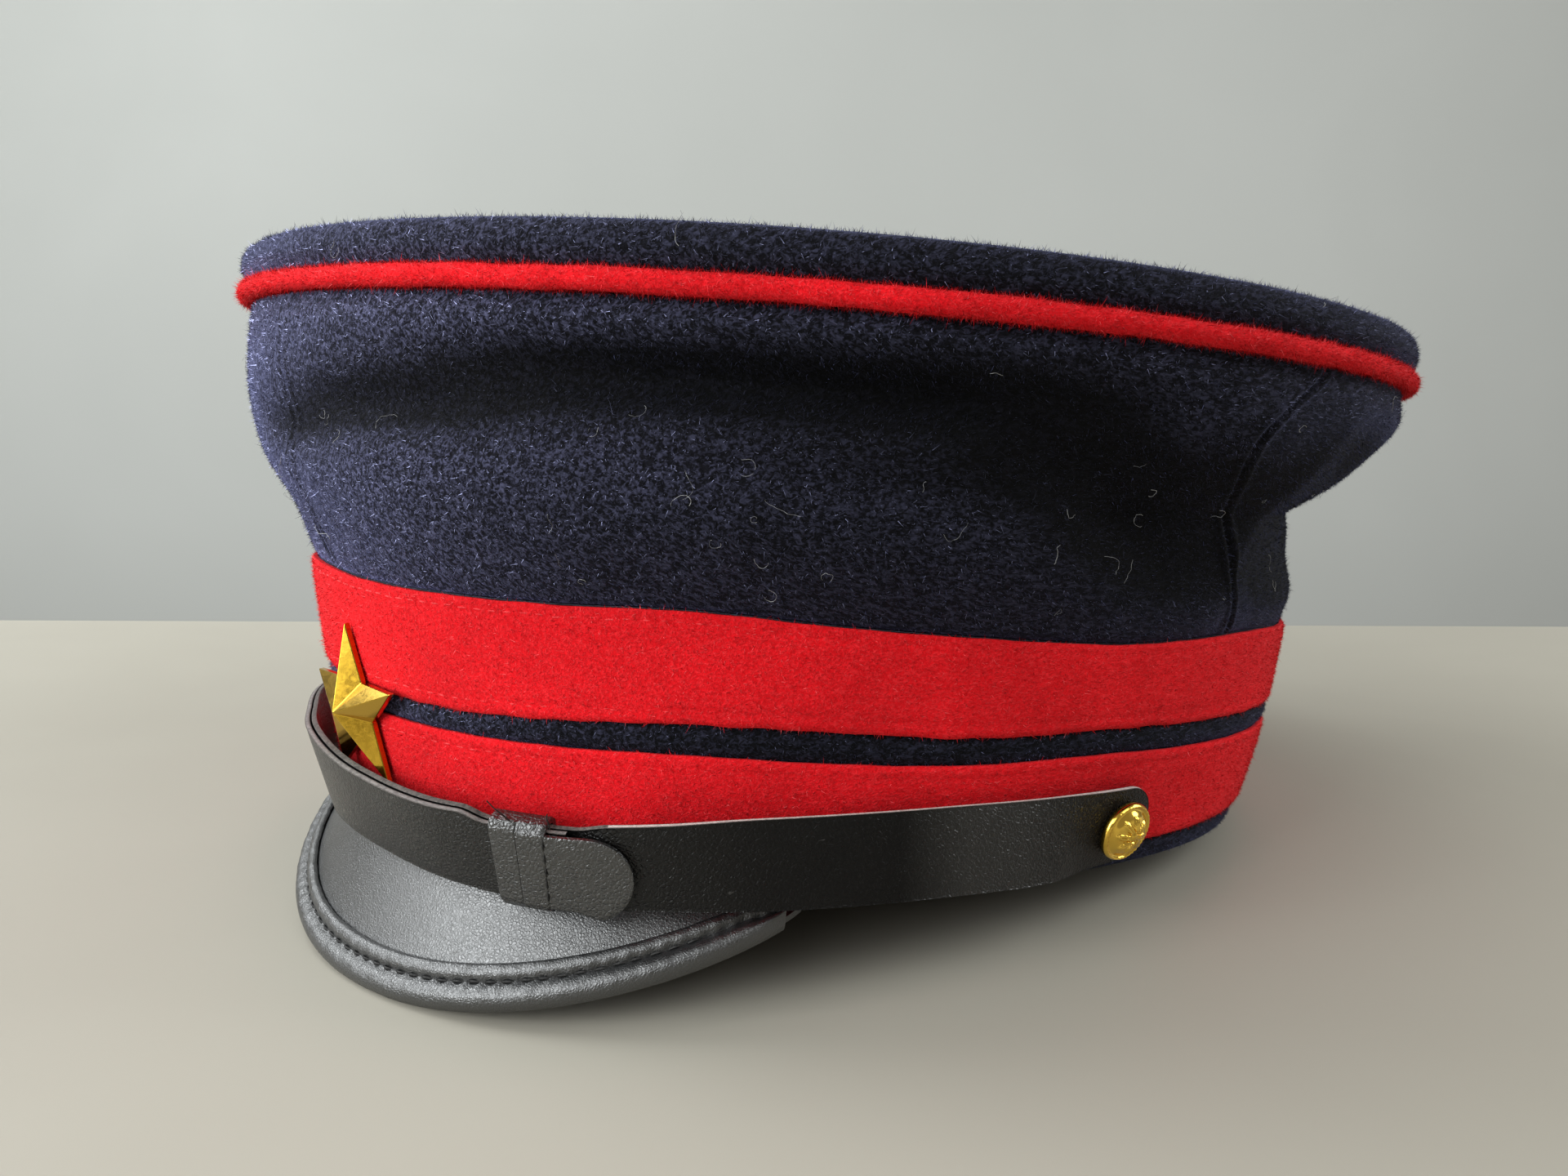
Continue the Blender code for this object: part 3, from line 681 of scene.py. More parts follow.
def body_volume(points: Array, faces: Sequence[Sequence[int]]) -> float:
    """Return a closed body's signed volume, positive where its faces look outwards."""
    total = 0.0
    for size in sorted({len(face) for face in faces}):
        group = np.array([face for face in faces if len(face) == size])
        for k in range(1, size - 1):
            a, b, c = points[group[:, 0]], points[group[:, k]], points[group[:, k + 1]]
            total += float(np.sum(np.cross(a, b) * c)) / 6.0
    return total


class MeshMaker:
    """Collects closed bodies in the cap's frame, with a material number for each face."""

    def __init__(self) -> None:
        """Start with no points and no faces."""
        self.points: List[Array] = []
        self.faces: List[List[int]] = []
        self.finish: List[int] = []
        self.count = 0

    def add(self, points: Array, faces: Sequence[Sequence[int]], finish: Sequence[int]) -> None:
        """Add one body, with its faces turned outwards.

        Args:
            points: The body's points.
            faces: Its faces, as point numbers.
            finish: A material number for each face.
        """
        points = np.asarray(points, float).reshape(-1, 3)
        faces = [list(map(int, face)) for face in faces]
        if body_volume(points, faces) < 0:
            faces = [face[::-1] for face in faces]
        self.points.append(points)
        self.faces += [[i + self.count for i in face] for face in faces]
        self.finish += list(finish)
        self.count += len(points)

    def add_sections(self, sections: Array, ring: bool, finish: Optional[Array] = None) -> None:
        """Add a body through a row of equal closed sections.

        Args:
            sections: Points by section and by place in the section.
            ring: Join the last section to the first, or else cap both ends.
            finish: A material number for each place in the section.
        """
        rows, columns = sections.shape[:2]
        faces = [list(face) for face in grid_faces(rows, columns, ring, True)]
        by_place = np.zeros(columns, int) if finish is None else np.asarray(finish)
        numbers = list(np.tile(by_place, len(faces) // columns))
        if not ring:
            faces.append(list(range(columns)))
            faces.append(list(range((rows - 1) * columns, rows * columns))[::-1])
            numbers += [int(by_place[0])] * 2
        self.add(sections.reshape(-1, 3), faces, numbers)

    def add_tube(self, path: Array, radius: Array, sides: int, finish: int = 0) -> None:
        """Add a round thread along a path.

        Args:
            path: Points along the thread's middle.
            radius: Its radius, one number or one for each point.
            sides: Sides of the thread's section.
            finish: The thread's material number.
        """
        along = unit(np.gradient(path, axis=0))
        guide = np.array((0.31, 0.17, 0.93))
        side = unit(np.cross(along, guide))
        other = np.cross(along, side)
        turns = np.linspace(0, 2 * math.pi, sides, endpoint=False)
        spread = np.broadcast_to(np.asarray(radius, float), (len(path),))[:, None, None]
        circle = side[:, None] * np.cos(turns)[:, None] + other[:, None] * np.sin(turns)[:, None]
        self.add_sections(path[:, None] + circle * spread, False, np.full(sides, finish))

    def build(self, name: str, materials: Sequence[Material], sharp: float = 40.0,
              smooth: bool = True) -> Object:
        """Make the object where the cap stands.

        Args:
            name: The piece's name.
            materials: Its materials, in the order of their numbers.
            sharp: Least angle of a sharp edge.
            smooth: Shade it smooth.

        Returns:
            The new object.
        """
        mesh = bpy.data.meshes.new(name)
        mesh.from_pydata(STAND.place(np.concatenate(self.points)).tolist(), [], self.faces)
        mesh.polygons.foreach_set("material_index", np.array(self.finish, np.int32))
        for material in materials:
            mesh.materials.append(material)
        if smooth:
            mesh.shade_smooth()
            mesh.set_sharp_from_angle(angle=math.radians(sharp))
        mesh.update()
        return show(name, mesh)

    def stand_in(self, node: str, kind: str, materials: Sequence[Material],
                 sharp: float = 40.0) -> Object:
        """Build and register the piece that takes a CAD node's place.

        Args:
            node: The CAD node, whose slot has the same name.
            kind: Last word of the piece's name.
            materials: Its materials, in the order of their numbers.
            sharp: Least angle of a sharp edge.

        Returns:
            The new piece.
        """
        return register(self.build(f"{node}_{kind}", materials, sharp), node, node)

    def add_on(self, node: str, kind: str, materials: Sequence[Material]) -> Object:
        """Build and register a piece beside the one that takes a node's place, such as its stitches."""
        return register(self.build(f"{node}_{kind}", materials), node)


def show(name: str, data: bpy.types.ID) -> Object:
    """Put a mesh, a light or a camera in the scene as an object."""
    shown = bpy.data.objects.new(name, data)
    bpy.context.scene.collection.objects.link(shown)
    return shown


def register(piece: Object, slot: str, *nodes: str) -> Object:
    """Let a piece ride on the cap, hide the CAD nodes that it stands for, and report it.

    Args:
        piece: The finished object.
        slot: Not used.
        nodes: CAD nodes that it stands for.

    Returns:
        The same object.
    """
    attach(piece, BODY)
    if nodes:
        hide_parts(*nodes)
    triangles = sum(len(polygon.vertices) - 2 for polygon in piece.data.polygons)
    LOG.info("%s: %d triangles%s", piece.name, triangles, f", for {', '.join(nodes)}" if nodes else "")
    return piece


def paint(mesh: bpy.types.Mesh, name: str, values: Array) -> None:
    """Store a number for each point, for the materials to read: "tone", or "bloom" for painted light and shade.
    """
    values = np.ascontiguousarray(values, np.float32).ravel()
    mesh.attributes.new(name, "FLOAT", "POINT").data.foreach_set("value", values)


# Cloth fibres


@dataclass(frozen=True)
class Nap:
    """Short fibre ends that stand on a cloth surface, each a thin pointed blade."""

    count: int
    shortest: float
    longest: float
    seed: int
    width: float = 0.10
    flat_lean: float = 78.0
    steep_lean: float = 15.0
    long_share: float = 0.0
    long_reach: float = 1.8
    pale_share: float = 0.08
    pale_tones: Tuple[float, float] = (0.65, 1.0)
    dark_tones: Tuple[float, float] = (0.0, 0.5)
    follow: float = 0.7
    sink: float = 0.12
    twist: float = 0.35
    bends: Tuple[float, float] = (-0.25, 0.45)

    def grow(self, node: str, surface: Surface, finish: "FibreFinish", weight: Optional[Surface] = None,
             bloom: Optional[Surface] = None) -> None:
        """Grow the fibres on a surface.

        Args:
            node: The CAD node that they grow on, whose slot has the same name.
            surface: Gives points for two coordinates between 0 and 1.
            finish: The fibres' finish, which reads the attributes "tone" and "bloom".
            weight: How dense the nap is, from 0 to 1, for the same two coordinates.
            bloom: Painted light and shade on the fibres, about 1, for the same two coordinates.
        """
        material = finish.material(f"{node}_fibre")
        count = self.count
        rng = np.random.default_rng(self.seed)
        u, v = self._spread(surface, count, weight, rng)
        here = surface(u, v)
        along, across = slopes_of(surface, u, v)
        normal = unit(np.cross(along, across))
        tangent = unit(along)
        other = np.cross(normal, tangent)
        spin = rng.uniform(0, 2 * math.pi, len(u))
        flat = tangent * np.cos(spin)[:, None] + other * np.sin(spin)[:, None]
        lean = np.radians(rng.uniform(self.steep_lean, self.flat_lean, len(u)))
        direction = normal * np.cos(lean)[:, None] + flat * np.sin(lean)[:, None]
        length = rng.uniform(self.shortest, self.longest, len(u))
        length = np.where(rng.random(len(u)) < self.long_share, length * self.long_reach, length)
        side = unit(np.cross(direction, normal + self.twist * rng.normal(size=here.shape))) * self.width / 2
        root = here - normal * self.sink
        bend = flat * (length * rng.uniform(*self.bends, len(u)))[:, None]
        tip = root + direction * length[:, None] + bend * 0.5
        points = np.stack([root - side, root + side, tip], 1).reshape(-1, 3)
        tone = np.where(rng.random(len(u)) < self.pale_share, rng.uniform(*self.pale_tones, len(u)),
                        rng.uniform(*self.dark_tones, len(u)))
        shading = unit(np.repeat(normal, 3, 0) * self.follow
                       + np.repeat(unit(rng.normal(size=here.shape)), 3, 0) * (1 - self.follow))
        piece = self._object(node, points, np.repeat(tone, 3), shading, material)
        # Painted light and shade on the fibres, 1 where none is given.
        paint(piece.data, "bloom", np.repeat(bloom(u, v) if bloom else np.ones(len(u)), 3))

    @staticmethod
    def _spread(surface: Surface, count: int, weight: Optional[Surface],
                rng: np.random.Generator) -> Tuple[Array, Array]:
        """Pick coordinates that lie evenly over the surface, or as densely as weight says."""
        u, v = rng.random(count * 3), rng.random(count * 3)
        area = np.linalg.norm(np.cross(*slopes_of(surface, u, v)), axis=-1)
        if weight is not None:
            area = area * weight(u, v)
        kept = rng.random(len(u)) * np.quantile(area, 0.995) < area
        return u[kept][:count], v[kept][:count]

    @staticmethod
    def _object(node: str, points: Array, tone: Array, shading: Array,
                material: Material) -> Object:
        """Make the fibres' mesh, with their tone and with shading that follows the cloth."""
        mesh = bpy.data.meshes.new(f"{node}_nap")
        total = len(points)
        mesh.vertices.add(total)
        mesh.vertices.foreach_set("co", STAND.place(points).astype(np.float32).ravel())
        mesh.loops.add(total)
        mesh.loops.foreach_set("vertex_index", np.arange(total, dtype=np.int32))
        mesh.polygons.add(total // 3)
        mesh.polygons.foreach_set("loop_start", np.arange(0, total, 3, dtype=np.int32))
        mesh.update(calc_edges=True)
        mesh.shade_smooth()
        paint(mesh, "tone", tone)
        mesh.normals_split_custom_set_from_vertices(STAND.turn(shading).tolist())
        mesh.materials.append(material)
        return register(show(mesh.name, mesh), node)


@dataclass(frozen=True)
class StrayFibres:
    """A few long curly fibres that lie loosely on a surface."""

    count: int
    seed: int
    shortest: float = 2.0
    longest: float = 7.0
    radius: float = 0.026
    lift: float = 0.9
    start_lift: float = 0.35
    points: int = 12
    curl_change: float = 0.5
    most_curl: float = 1.3
    turn_share: float = 0.40
    bob: float = 0.35
    settle: float = 0.15

    def scatter(self, node: str, surface: Surface) -> None:
        """Lay the fibres on a surface.

        Args:
            node: The CAD node that they lie on, whose slot has the same name.
            surface: Gives points for two coordinates between 0 and 1.
        """
        material = STRAY_FIBRE.material(f"{node}_stray")
        rng = np.random.default_rng(self.seed)
        maker = MeshMaker()
        for _ in range(self.count):
            maker.add_tube(self._course(surface, rng), self.radius * rng.uniform(0.7, 1.3), 3)
        maker.add_on(node, "strays", [material])

    def _course(self, surface: Surface, rng: np.random.Generator) -> Array:
        """Return a curly course near the surface."""
        u, v = np.array([rng.random()]), np.array([rng.uniform(0.04, 0.96)])
        step = 1e-3
        here = surface(u, v)[0]
        along = unit(surface(u + step, v)[0] - here)
        across = surface(u, v + step)[0] - here
        normal = unit(np.cross(along, across))
        other = np.cross(normal, along)
        length = rng.uniform(self.shortest, self.longest)
        heading = rng.uniform(0, 2 * math.pi)
        curl = rng.normal(0, 1.0)
        path = [here + normal * self.start_lift]
        for _ in range(self.points - 1):
            curl = float(np.clip(curl + rng.normal(0, self.curl_change), -self.most_curl, self.most_curl))
            heading += curl * self.turn_share
            lift = rng.normal(0.0, self.bob) + (self.lift - np.dot(path[-1] - here, normal)) * self.settle
            move = along * math.cos(heading) + other * math.sin(heading) + normal * lift
            path.append(path[-1] + unit(move) * length / self.points)
        return np.array(path)


# Shader node groups and finishes


class Wiring:
    """Adds nodes to one shader tree and joins them."""

    def __init__(self, tree: Tree) -> None:
        """Keep the tree.

        Args:
            tree: The node tree of a material or of a group.
        """
        self.tree = tree

    def add(self, kind: str, values: Optional[Dict] = None, **settings: object) -> Node:
        """Add a node.

        Args:
            kind: The node's type.
            values: Sockets to join, or values to set, by the input's name or number.
            settings: The node's own properties.

        Returns:
            The node.
        """
        node = self.tree.nodes.new(kind)
        for key, value in settings.items():
            setattr(node, key, value)
        self.fill(node, values or {})
        return node

    def fill(self, node: Node, values: Dict) -> None:
        """Join or set several of a node's inputs, given by name or number."""
        for key, value in values.items():
            self.set(node.inputs[key], value)

    def set(self, socket: Socket, value: object) -> None:
        """Join an output to a socket, or set the socket's own value."""
        if isinstance(value, Socket):
            self.tree.links.new(value, socket)
        elif socket.type == "RGBA" and len(value) == 3:
            socket.default_value = (*value, 1.0)
        else:
            socket.default_value = value

    def calc(self, operation: str, first: object, second: object) -> Socket:
        """Return the outcome of a sum on two numbers."""
        return self.add("ShaderNodeMath", {0: first, 1: second}, operation=operation).outputs[0]

    def product(self, first: object, second: object) -> Socket:
        """Return one number times another."""
        return self.calc("MULTIPLY", first, second)

    def total(self, first: object, second: object) -> Socket:
        """Return one number plus another."""
        return self.calc("ADD", first, second)

    def attribute(self, name: str) -> Socket:
        """Return the number stored under a name at each point of the mesh."""
        return self.add("ShaderNodeAttribute", attribute_name=name).outputs["Fac"]

    def place(self) -> Socket:
        """Return the coordinates fixed to the object, in metres."""
        return self.add("ShaderNodeTexCoord").outputs["Object"]

    def effect(self, effect: "Effect", values: Dict[str, object]) -> Node:
        """Place a shared effect in a material with the material's own values."""
        return self.add("ShaderNodeGroup", values, node_tree=effect.tree())

    def bump(self, shader: Node, height: Socket, depth: float) -> None:
        """Raise a material's relief by a height between 0 and 1, over a depth in metres."""
        bump = self.add("ShaderNodeBump", {"Height": height, "Distance": depth})
        self.set(shader.inputs["Normal"], bump.outputs["Normal"])

    def ramp(self, value: object, low: float, high: float, start: float = 0.0,
             end: float = 1.0) -> Socket:
        """Return a value stretched from low..high to start..end, and held within it."""
        values = {"Value": value, "From Min": low, "From Max": high, "To Min": start, "To Max": end}
        return self.add("ShaderNodeMapRange", values, clamp=True).outputs["Result"]

    def mix(self, share: object, first: object, second: object) -> Socket:
        """Return a blend of two colours."""
        return self.add("ShaderNodeMix", {0: share, 6: first, 7: second}, data_type="RGBA").outputs[2]

    def scaled(self, vector: object, factor: object) -> Socket:
        """Return a vector times a number."""
        return self.add("ShaderNodeVectorMath", {0: vector, "Scale": factor}, operation="SCALE").outputs[0]

    def noise(self, place: object, scale: object, detail: float = 2.0, rough: float = 0.5,
              twist: float = 0.0) -> Socket:
        """Return a soft noise of about 0.3 to 0.7."""
        values = {"Vector": place, "Scale": scale, "Detail": detail, "Roughness": rough, "Distortion": twist}
        return self.add("ShaderNodeTexNoise", values).outputs["Fac"]

    def streaks(self, place: object, scale: object, turn: Tuple[float, float, float],
                stretch: float) -> Socket:
        """Return a noise drawn out in one direction, as lying fibres are."""
        values = {"Vector": place, "Rotation": turn, "Scale": (1.0, stretch, 1.0)}
        turned = self.add("ShaderNodeMapping", values).outputs["Vector"]
        return self.noise(turned, scale, 1.0, 0.5, 0.6)


RELIEF_OUTPUTS = {"Color": "Color", "Height": "Float", "Roughness": "Float"}


class SocketSpec(NamedTuple):
    """Name, kind and first value of a group's input."""

    name: str
    kind: str
    value: object


def new_group(name: str, inputs: Sequence[SocketSpec],
              outputs: Dict[str, str]) -> Tuple[Wiring, Node, Node]:
    """Make an empty shader group with named sockets.

    Args:
        name: The group's name.
        inputs: Its inputs.
        outputs: The kinds of its outputs by name.

    Returns:
        The group's wiring, and its input and output nodes.
    """
    tree = bpy.data.node_groups.new(name, "ShaderNodeTree")
    for spec in inputs:
        socket = tree.interface.new_socket(spec.name, in_out="INPUT", socket_type=f"NodeSocket{spec.kind}")
        socket.default_value = (*spec.value, 1.0) if spec.kind == "Color" else spec.value
    for output, kind in outputs.items():
        tree.interface.new_socket(output, in_out="OUTPUT", socket_type=f"NodeSocket{kind}")
    wiring = Wiring(tree)
    return wiring, wiring.add("NodeGroupInput"), wiring.add("NodeGroupOutput")


def make_cloth_group() -> Tree:
    """Build the fulled wool effect: streaky fibres over a soft, blotched ground."""
    wiring, given, out = new_group("fulled_wool", (
        SocketSpec("Deep", "Color", (0.01, 0.01, 0.03)),
        SocketSpec("Middle", "Color", (0.02, 0.02, 0.05)),
        SocketSpec("Pale", "Color", (0.1, 0.1, 0.15)),
        SocketSpec("Fibres per metre", "Float", 1500.0),
        SocketSpec("Pale fibres", "Float", 0.5),
        SocketSpec("Blotches", "Float", 0.15),
    ), RELIEF_OUTPUTS)
    place = wiring.place()
    scale = given.outputs["Fibres per metre"]
    ground = wiring.noise(place, scale, 3.0, 0.6, 0.4)
    turns = ((0.3, 0.2, 0.5), (1.4, 0.6, 2.1), (2.3, 1.7, 0.9), (0.8, 2.6, 1.6))
    streaks = [wiring.streaks(place, scale, turn, 0.2) for turn in turns]
    highest = streaks[0]
    for streak in streaks[1:]:
        highest = wiring.calc("MAXIMUM", highest, streak)
    fibres = wiring.ramp(highest, 0.56, 0.74)
    blotch = wiring.ramp(wiring.noise(place, 38.0, 3.0, 0.55), 0.35, 0.65, -1.0, 1.0)
    tone = wiring.calc("MULTIPLY_ADD", blotch, given.outputs["Blotches"])
    tone.node.inputs[2].default_value = 1.0
    colour = wiring.mix(wiring.ramp(ground, 0.36, 0.66), given.outputs["Deep"], given.outputs["Middle"])
    share = wiring.product(fibres, given.outputs["Pale fibres"])
    colour = wiring.mix(share, colour, given.outputs["Pale"])
    wiring.set(out.inputs["Color"], wiring.scaled(colour, tone))
    height = wiring.total(wiring.product(ground, 0.6), wiring.product(fibres, 0.4))
    wiring.set(out.inputs["Height"], height)
    wiring.set(out.inputs["Roughness"], wiring.ramp(ground, 0.3, 0.7, 0.98, 0.86))
    return wiring.tree


def make_leather_group() -> Tree:
    """Build the pressed leather effect: small pebbles between creases, with finer wrinkles."""
    wiring, given, out = new_group("pressed_leather", (
        SocketSpec("Skin", "Color", (0.01, 0.01, 0.01)),
        SocketSpec("Worn", "Color", (0.03, 0.03, 0.03)),
        SocketSpec("Pebbles per metre", "Float", 1500.0),
        SocketSpec("Gloss", "Float", 0.4),
        SocketSpec("Wear", "Float", 0.3),
    ), RELIEF_OUTPUTS)
    place = wiring.place()
    scale = given.outputs["Pebbles per metre"]
    sway = wiring.add("ShaderNodeTexNoise", {"Vector": place, "Scale": scale, "Detail": 1.0})
    shift = wiring.scaled(sway.outputs["Color"], 0.0005)
    bent = wiring.add("ShaderNodeVectorMath", {0: place, 1: shift}, operation="ADD").outputs[0]
    cells = wiring.add("ShaderNodeTexVoronoi", {"Vector": bent, "Scale": scale}, feature="DISTANCE_TO_EDGE")
    pebble = wiring.ramp(cells.outputs["Distance"], 0.0, 0.28)
    wrinkle = wiring.noise(place, wiring.product(scale, 0.42), 3.0, 0.6, 0.5)
    fine = wiring.noise(place, wiring.product(scale, 3.1), 2.0, 0.6)
    height = wiring.total(wiring.product(pebble, 0.5), wiring.product(wrinkle, 0.7))
    height = wiring.total(height, wiring.product(fine, 0.15))
    wear = wiring.product(wiring.ramp(wiring.noise(place, 90.0, 4.0, 0.6), 0.42, 0.68),
                       given.outputs["Wear"])
    tops = wiring.product(wear, wiring.ramp(height, 0.45, 0.95))
    wiring.set(out.inputs["Color"], wiring.mix(tops, given.outputs["Skin"], given.outputs["Worn"]))
    wiring.set(out.inputs["Height"], height)
    rough = wiring.total(given.outputs["Gloss"], wiring.ramp(height, 0.2, 0.9, 0.12, -0.03))
    rough = wiring.total(rough, wiring.ramp(wiring.noise(place, 55.0, 3.0, 0.5), 0.3, 0.7, -0.03, 0.05))
    wiring.set(out.inputs["Roughness"], rough)
    return wiring.tree


def make_metal_group() -> Tree:
    """Build the cast gilt effect: cloudy colour, fine pits and soft smears."""
    wiring, given, out = new_group("cast_gilt", (
        SocketSpec("Bright", "Color", (0.9, 0.6, 0.2)),
        SocketSpec("Dull", "Color", (0.5, 0.3, 0.1)),
        SocketSpec("Polish", "Float", 0.2),
        SocketSpec("Clouds per metre", "Float", 250.0),
    ), RELIEF_OUTPUTS)
    place = wiring.place()
    clouds = wiring.noise(place, given.outputs["Clouds per metre"], 4.0, 0.6, 0.3)
    pits = wiring.ramp(wiring.noise(place, 2600.0, 2.0, 0.7), 0.62, 0.74)
    smears = wiring.streaks(place, 1400.0, (0.4, 0.3, 1.2), 0.12)
    dull = wiring.calc("MAXIMUM", wiring.ramp(clouds, 0.48, 0.78), wiring.product(pits, 0.3))
    wiring.set(out.inputs["Color"], wiring.mix(dull, given.outputs["Bright"], given.outputs["Dull"]))
    rough = wiring.total(given.outputs["Polish"], wiring.ramp(clouds, 0.4, 0.75, 0.0, 0.06))
    wiring.set(out.inputs["Roughness"], wiring.total(rough, wiring.ramp(smears, 0.4, 0.7, -0.02, 0.03)))
    height = wiring.calc("SUBTRACT", wiring.product(smears, 0.4), wiring.product(pits, 0.5))
    wiring.set(out.inputs["Height"], wiring.total(height, wiring.product(clouds, 0.6)))
    return wiring.tree


def make_speck_group() -> Tree:
    """Build the lint effect: sparse pale specks and short hairs laid over a colour."""
    wiring, given, out = new_group("lint_specks", (
        SocketSpec("Color", "Color", (0.1, 0.1, 0.1)),
        SocketSpec("Lint", "Color", (0.5, 0.48, 0.46)),
        SocketSpec("Specks per metre", "Float", 260.0),
        SocketSpec("Amount", "Float", 0.5),
    ), {"Color": "Color"})
    place = wiring.place()
    values = {"Vector": place, "Scale": given.outputs["Specks per metre"], "Randomness": 1.0}
    cells = wiring.add("ShaderNodeTexVoronoi", values)
    dot = wiring.ramp(cells.outputs["Distance"], 0.040, 0.015)
    few = wiring.ramp(wiring.noise(place, 150.0, 2.0, 0.6), 0.60, 0.66)
    hair = wiring.ramp(wiring.streaks(place, 900.0, (0.7, 1.1, 0.4), 0.06), 0.765, 0.79)
    amount = wiring.product(wiring.calc("MAXIMUM", wiring.product(dot, few), hair),
                         given.outputs["Amount"])
    wiring.set(out.inputs["Color"], wiring.mix(amount, given.outputs["Color"], given.outputs["Lint"]))
    return wiring.tree


class Effect(Enum):
    """The shader groups that the materials share."""

    WOOL = "fulled_wool"
    LEATHER = "pressed_leather"
    GILT = "cast_gilt"
    LINT = "lint_specks"

    def tree(self) -> Tree:
        """Return the effect's node group."""
        return bpy.data.node_groups[self.value]


def make_effects() -> None:
    """Build all the shader groups once."""
    make_cloth_group()
    make_leather_group()
    make_metal_group()
    make_speck_group()


@dataclass(frozen=True)
class Finish:
    """How a surface looks. Each kind of finish joins its own nodes to the shader."""

    def wire(self, wiring: Wiring, shader: Node) -> None:
        """Join the finish's nodes to the shader."""
        raise NotImplementedError

    def material(self, name: str) -> Material:
        """Build the material under a name."""
        material = bpy.data.materials.new(name)
        material.use_nodes = True
        self.wire(Wiring(material.node_tree), material.node_tree.nodes["Principled BSDF"])
        return material


def materials_of(name: str, **finishes: Finish) -> List[Material]:
    """Build a material from each finish, named after the piece and the finish's keyword."""
    return [finish.material(f"{name}_{part}") for part, finish in finishes.items()]


@dataclass(frozen=True)
class ClothFinish(Finish):
    """Fulled wool cloth or felt."""

    deep: Colour
    middle: Colour
    pale: Colour
    fibres: float
    pale_fibres: float
    sheen: float
    sheen_tint: Colour
    sheen_roughness: float = 0.45
    blotches: float = 0.12
    relief: float = 0.00016
    shows_painted_light: bool = False
    specular: float = 0.12

    def wire(self, wiring: Wiring, shader: Node) -> None:
        """Join the finish's nodes to the shader."""
        effect = wiring.effect(Effect.WOOL, {
            "Deep": self.deep, "Middle": self.middle, "Pale": self.pale, "Fibres per metre": self.fibres,
            "Pale fibres": self.pale_fibres, "Blotches": self.blotches})
        colour = effect.outputs["Color"]
        shader.inputs["Sheen Weight"].default_value = self.sheen
        # Painted light and shade: where the cloth takes it, its colour and sheen are scaled by the painted
        # light stored on the mesh.
        if self.shows_painted_light:
            bloom = wiring.attribute("bloom")
            colour = wiring.scaled(colour, bloom)
            wiring.set(shader.inputs["Sheen Weight"], wiring.product(bloom, self.sheen))
        wiring.fill(shader, {"Base Color": colour, "Roughness": effect.outputs["Roughness"],
                             "Specular IOR Level": self.specular, "Sheen Roughness": self.sheen_roughness,
                             "Sheen Tint": self.sheen_tint})
        wiring.bump(shader, effect.outputs["Height"], self.relief)


@dataclass(frozen=True)
class FibreFinish(Finish):
    """Loose wool fibres, each with its own tone, made lighter or darker by painted light and shade."""

    dark: Colour
    pale: Colour
    sheen: float
    sheen_tint: Colour
    sheen_roughness: float = 0.5
    specular: float = 0.15

    def wire(self, wiring: Wiring, shader: Node) -> None:
        """Join the finish's nodes to the shader."""
        tone = wiring.attribute("tone")
        # Painted light and shade stored on the fibres scales their colour.
        bloom = wiring.attribute("bloom")
        share = wiring.calc("POWER", tone, 3.0)
        wander = wiring.ramp(wiring.noise(wiring.place(), 900.0, 2.0), 0.3, 0.7, 0.75, 1.25)
        colour = wiring.mix(share, self.dark, self.pale)
        wiring.fill(shader, {"Base Color": wiring.scaled(colour, wiring.product(wander, bloom)),
                             "Roughness": wiring.ramp(tone, 0.0, 1.0, 0.9, 0.6),
                             "Specular IOR Level": self.specular, "Sheen Weight": self.sheen,
                             "Sheen Roughness": self.sheen_roughness, "Sheen Tint": self.sheen_tint})


@dataclass(frozen=True)
class LeatherFinish(Finish):
    """Black leather or leather cloth with a pressed grain."""

    skin: Colour
    worn: Colour
    pebbles: float
    gloss: float
    wear: float
    relief: float
    specular: float = 0.5
    lint: float = 0.5
    ior: float = 1.5
    paints_highlights: bool = False

    def wire(self, wiring: Wiring, shader: Node) -> None:
        """Join the finish's nodes to the shader."""
        effect = wiring.effect(Effect.LEATHER, {
            "Skin": self.skin, "Worn": self.worn, "Pebbles per metre": self.pebbles, "Gloss": self.gloss,
            "Wear": self.wear})
        lint = wiring.effect(Effect.LINT, {"Color": effect.outputs["Color"], "Amount": self.lint})
        wiring.set(shader.inputs["Base Color"], lint.outputs["Color"])
        wiring.set(shader.inputs["Roughness"], effect.outputs["Roughness"])
        # Painted highlights: where set, the specular level is scaled by a number painted on the mesh.
        if self.paints_highlights:
            bloom = wiring.attribute("bloom")
            wiring.set(shader.inputs["Specular IOR Level"], wiring.product(bloom, self.specular))
        else:
            shader.inputs["Specular IOR Level"].default_value = self.specular
        shader.inputs["IOR"].default_value = self.ior
        wiring.bump(shader, effect.outputs["Height"], self.relief)


@dataclass(frozen=True)
class GiltFinish(Finish):
    """Cast metal with a gilt surface."""

    bright: Colour
    dull: Colour
    polish: float
    clouds: float
    relief: float = 0.00003

    def wire(self, wiring: Wiring, shader: Node) -> None:
        """Join the finish's nodes to the shader."""
        effect = wiring.effect(Effect.GILT, {
            "Bright": self.bright, "Dull": self.dull, "Polish": self.polish, "Clouds per metre": self.clouds})
        wiring.set(shader.inputs["Base Color"], effect.outputs["Color"])
        wiring.set(shader.inputs["Roughness"], effect.outputs["Roughness"])
        shader.inputs["Metallic"].default_value = 1.0
        wiring.bump(shader, effect.outputs["Height"], self.relief)


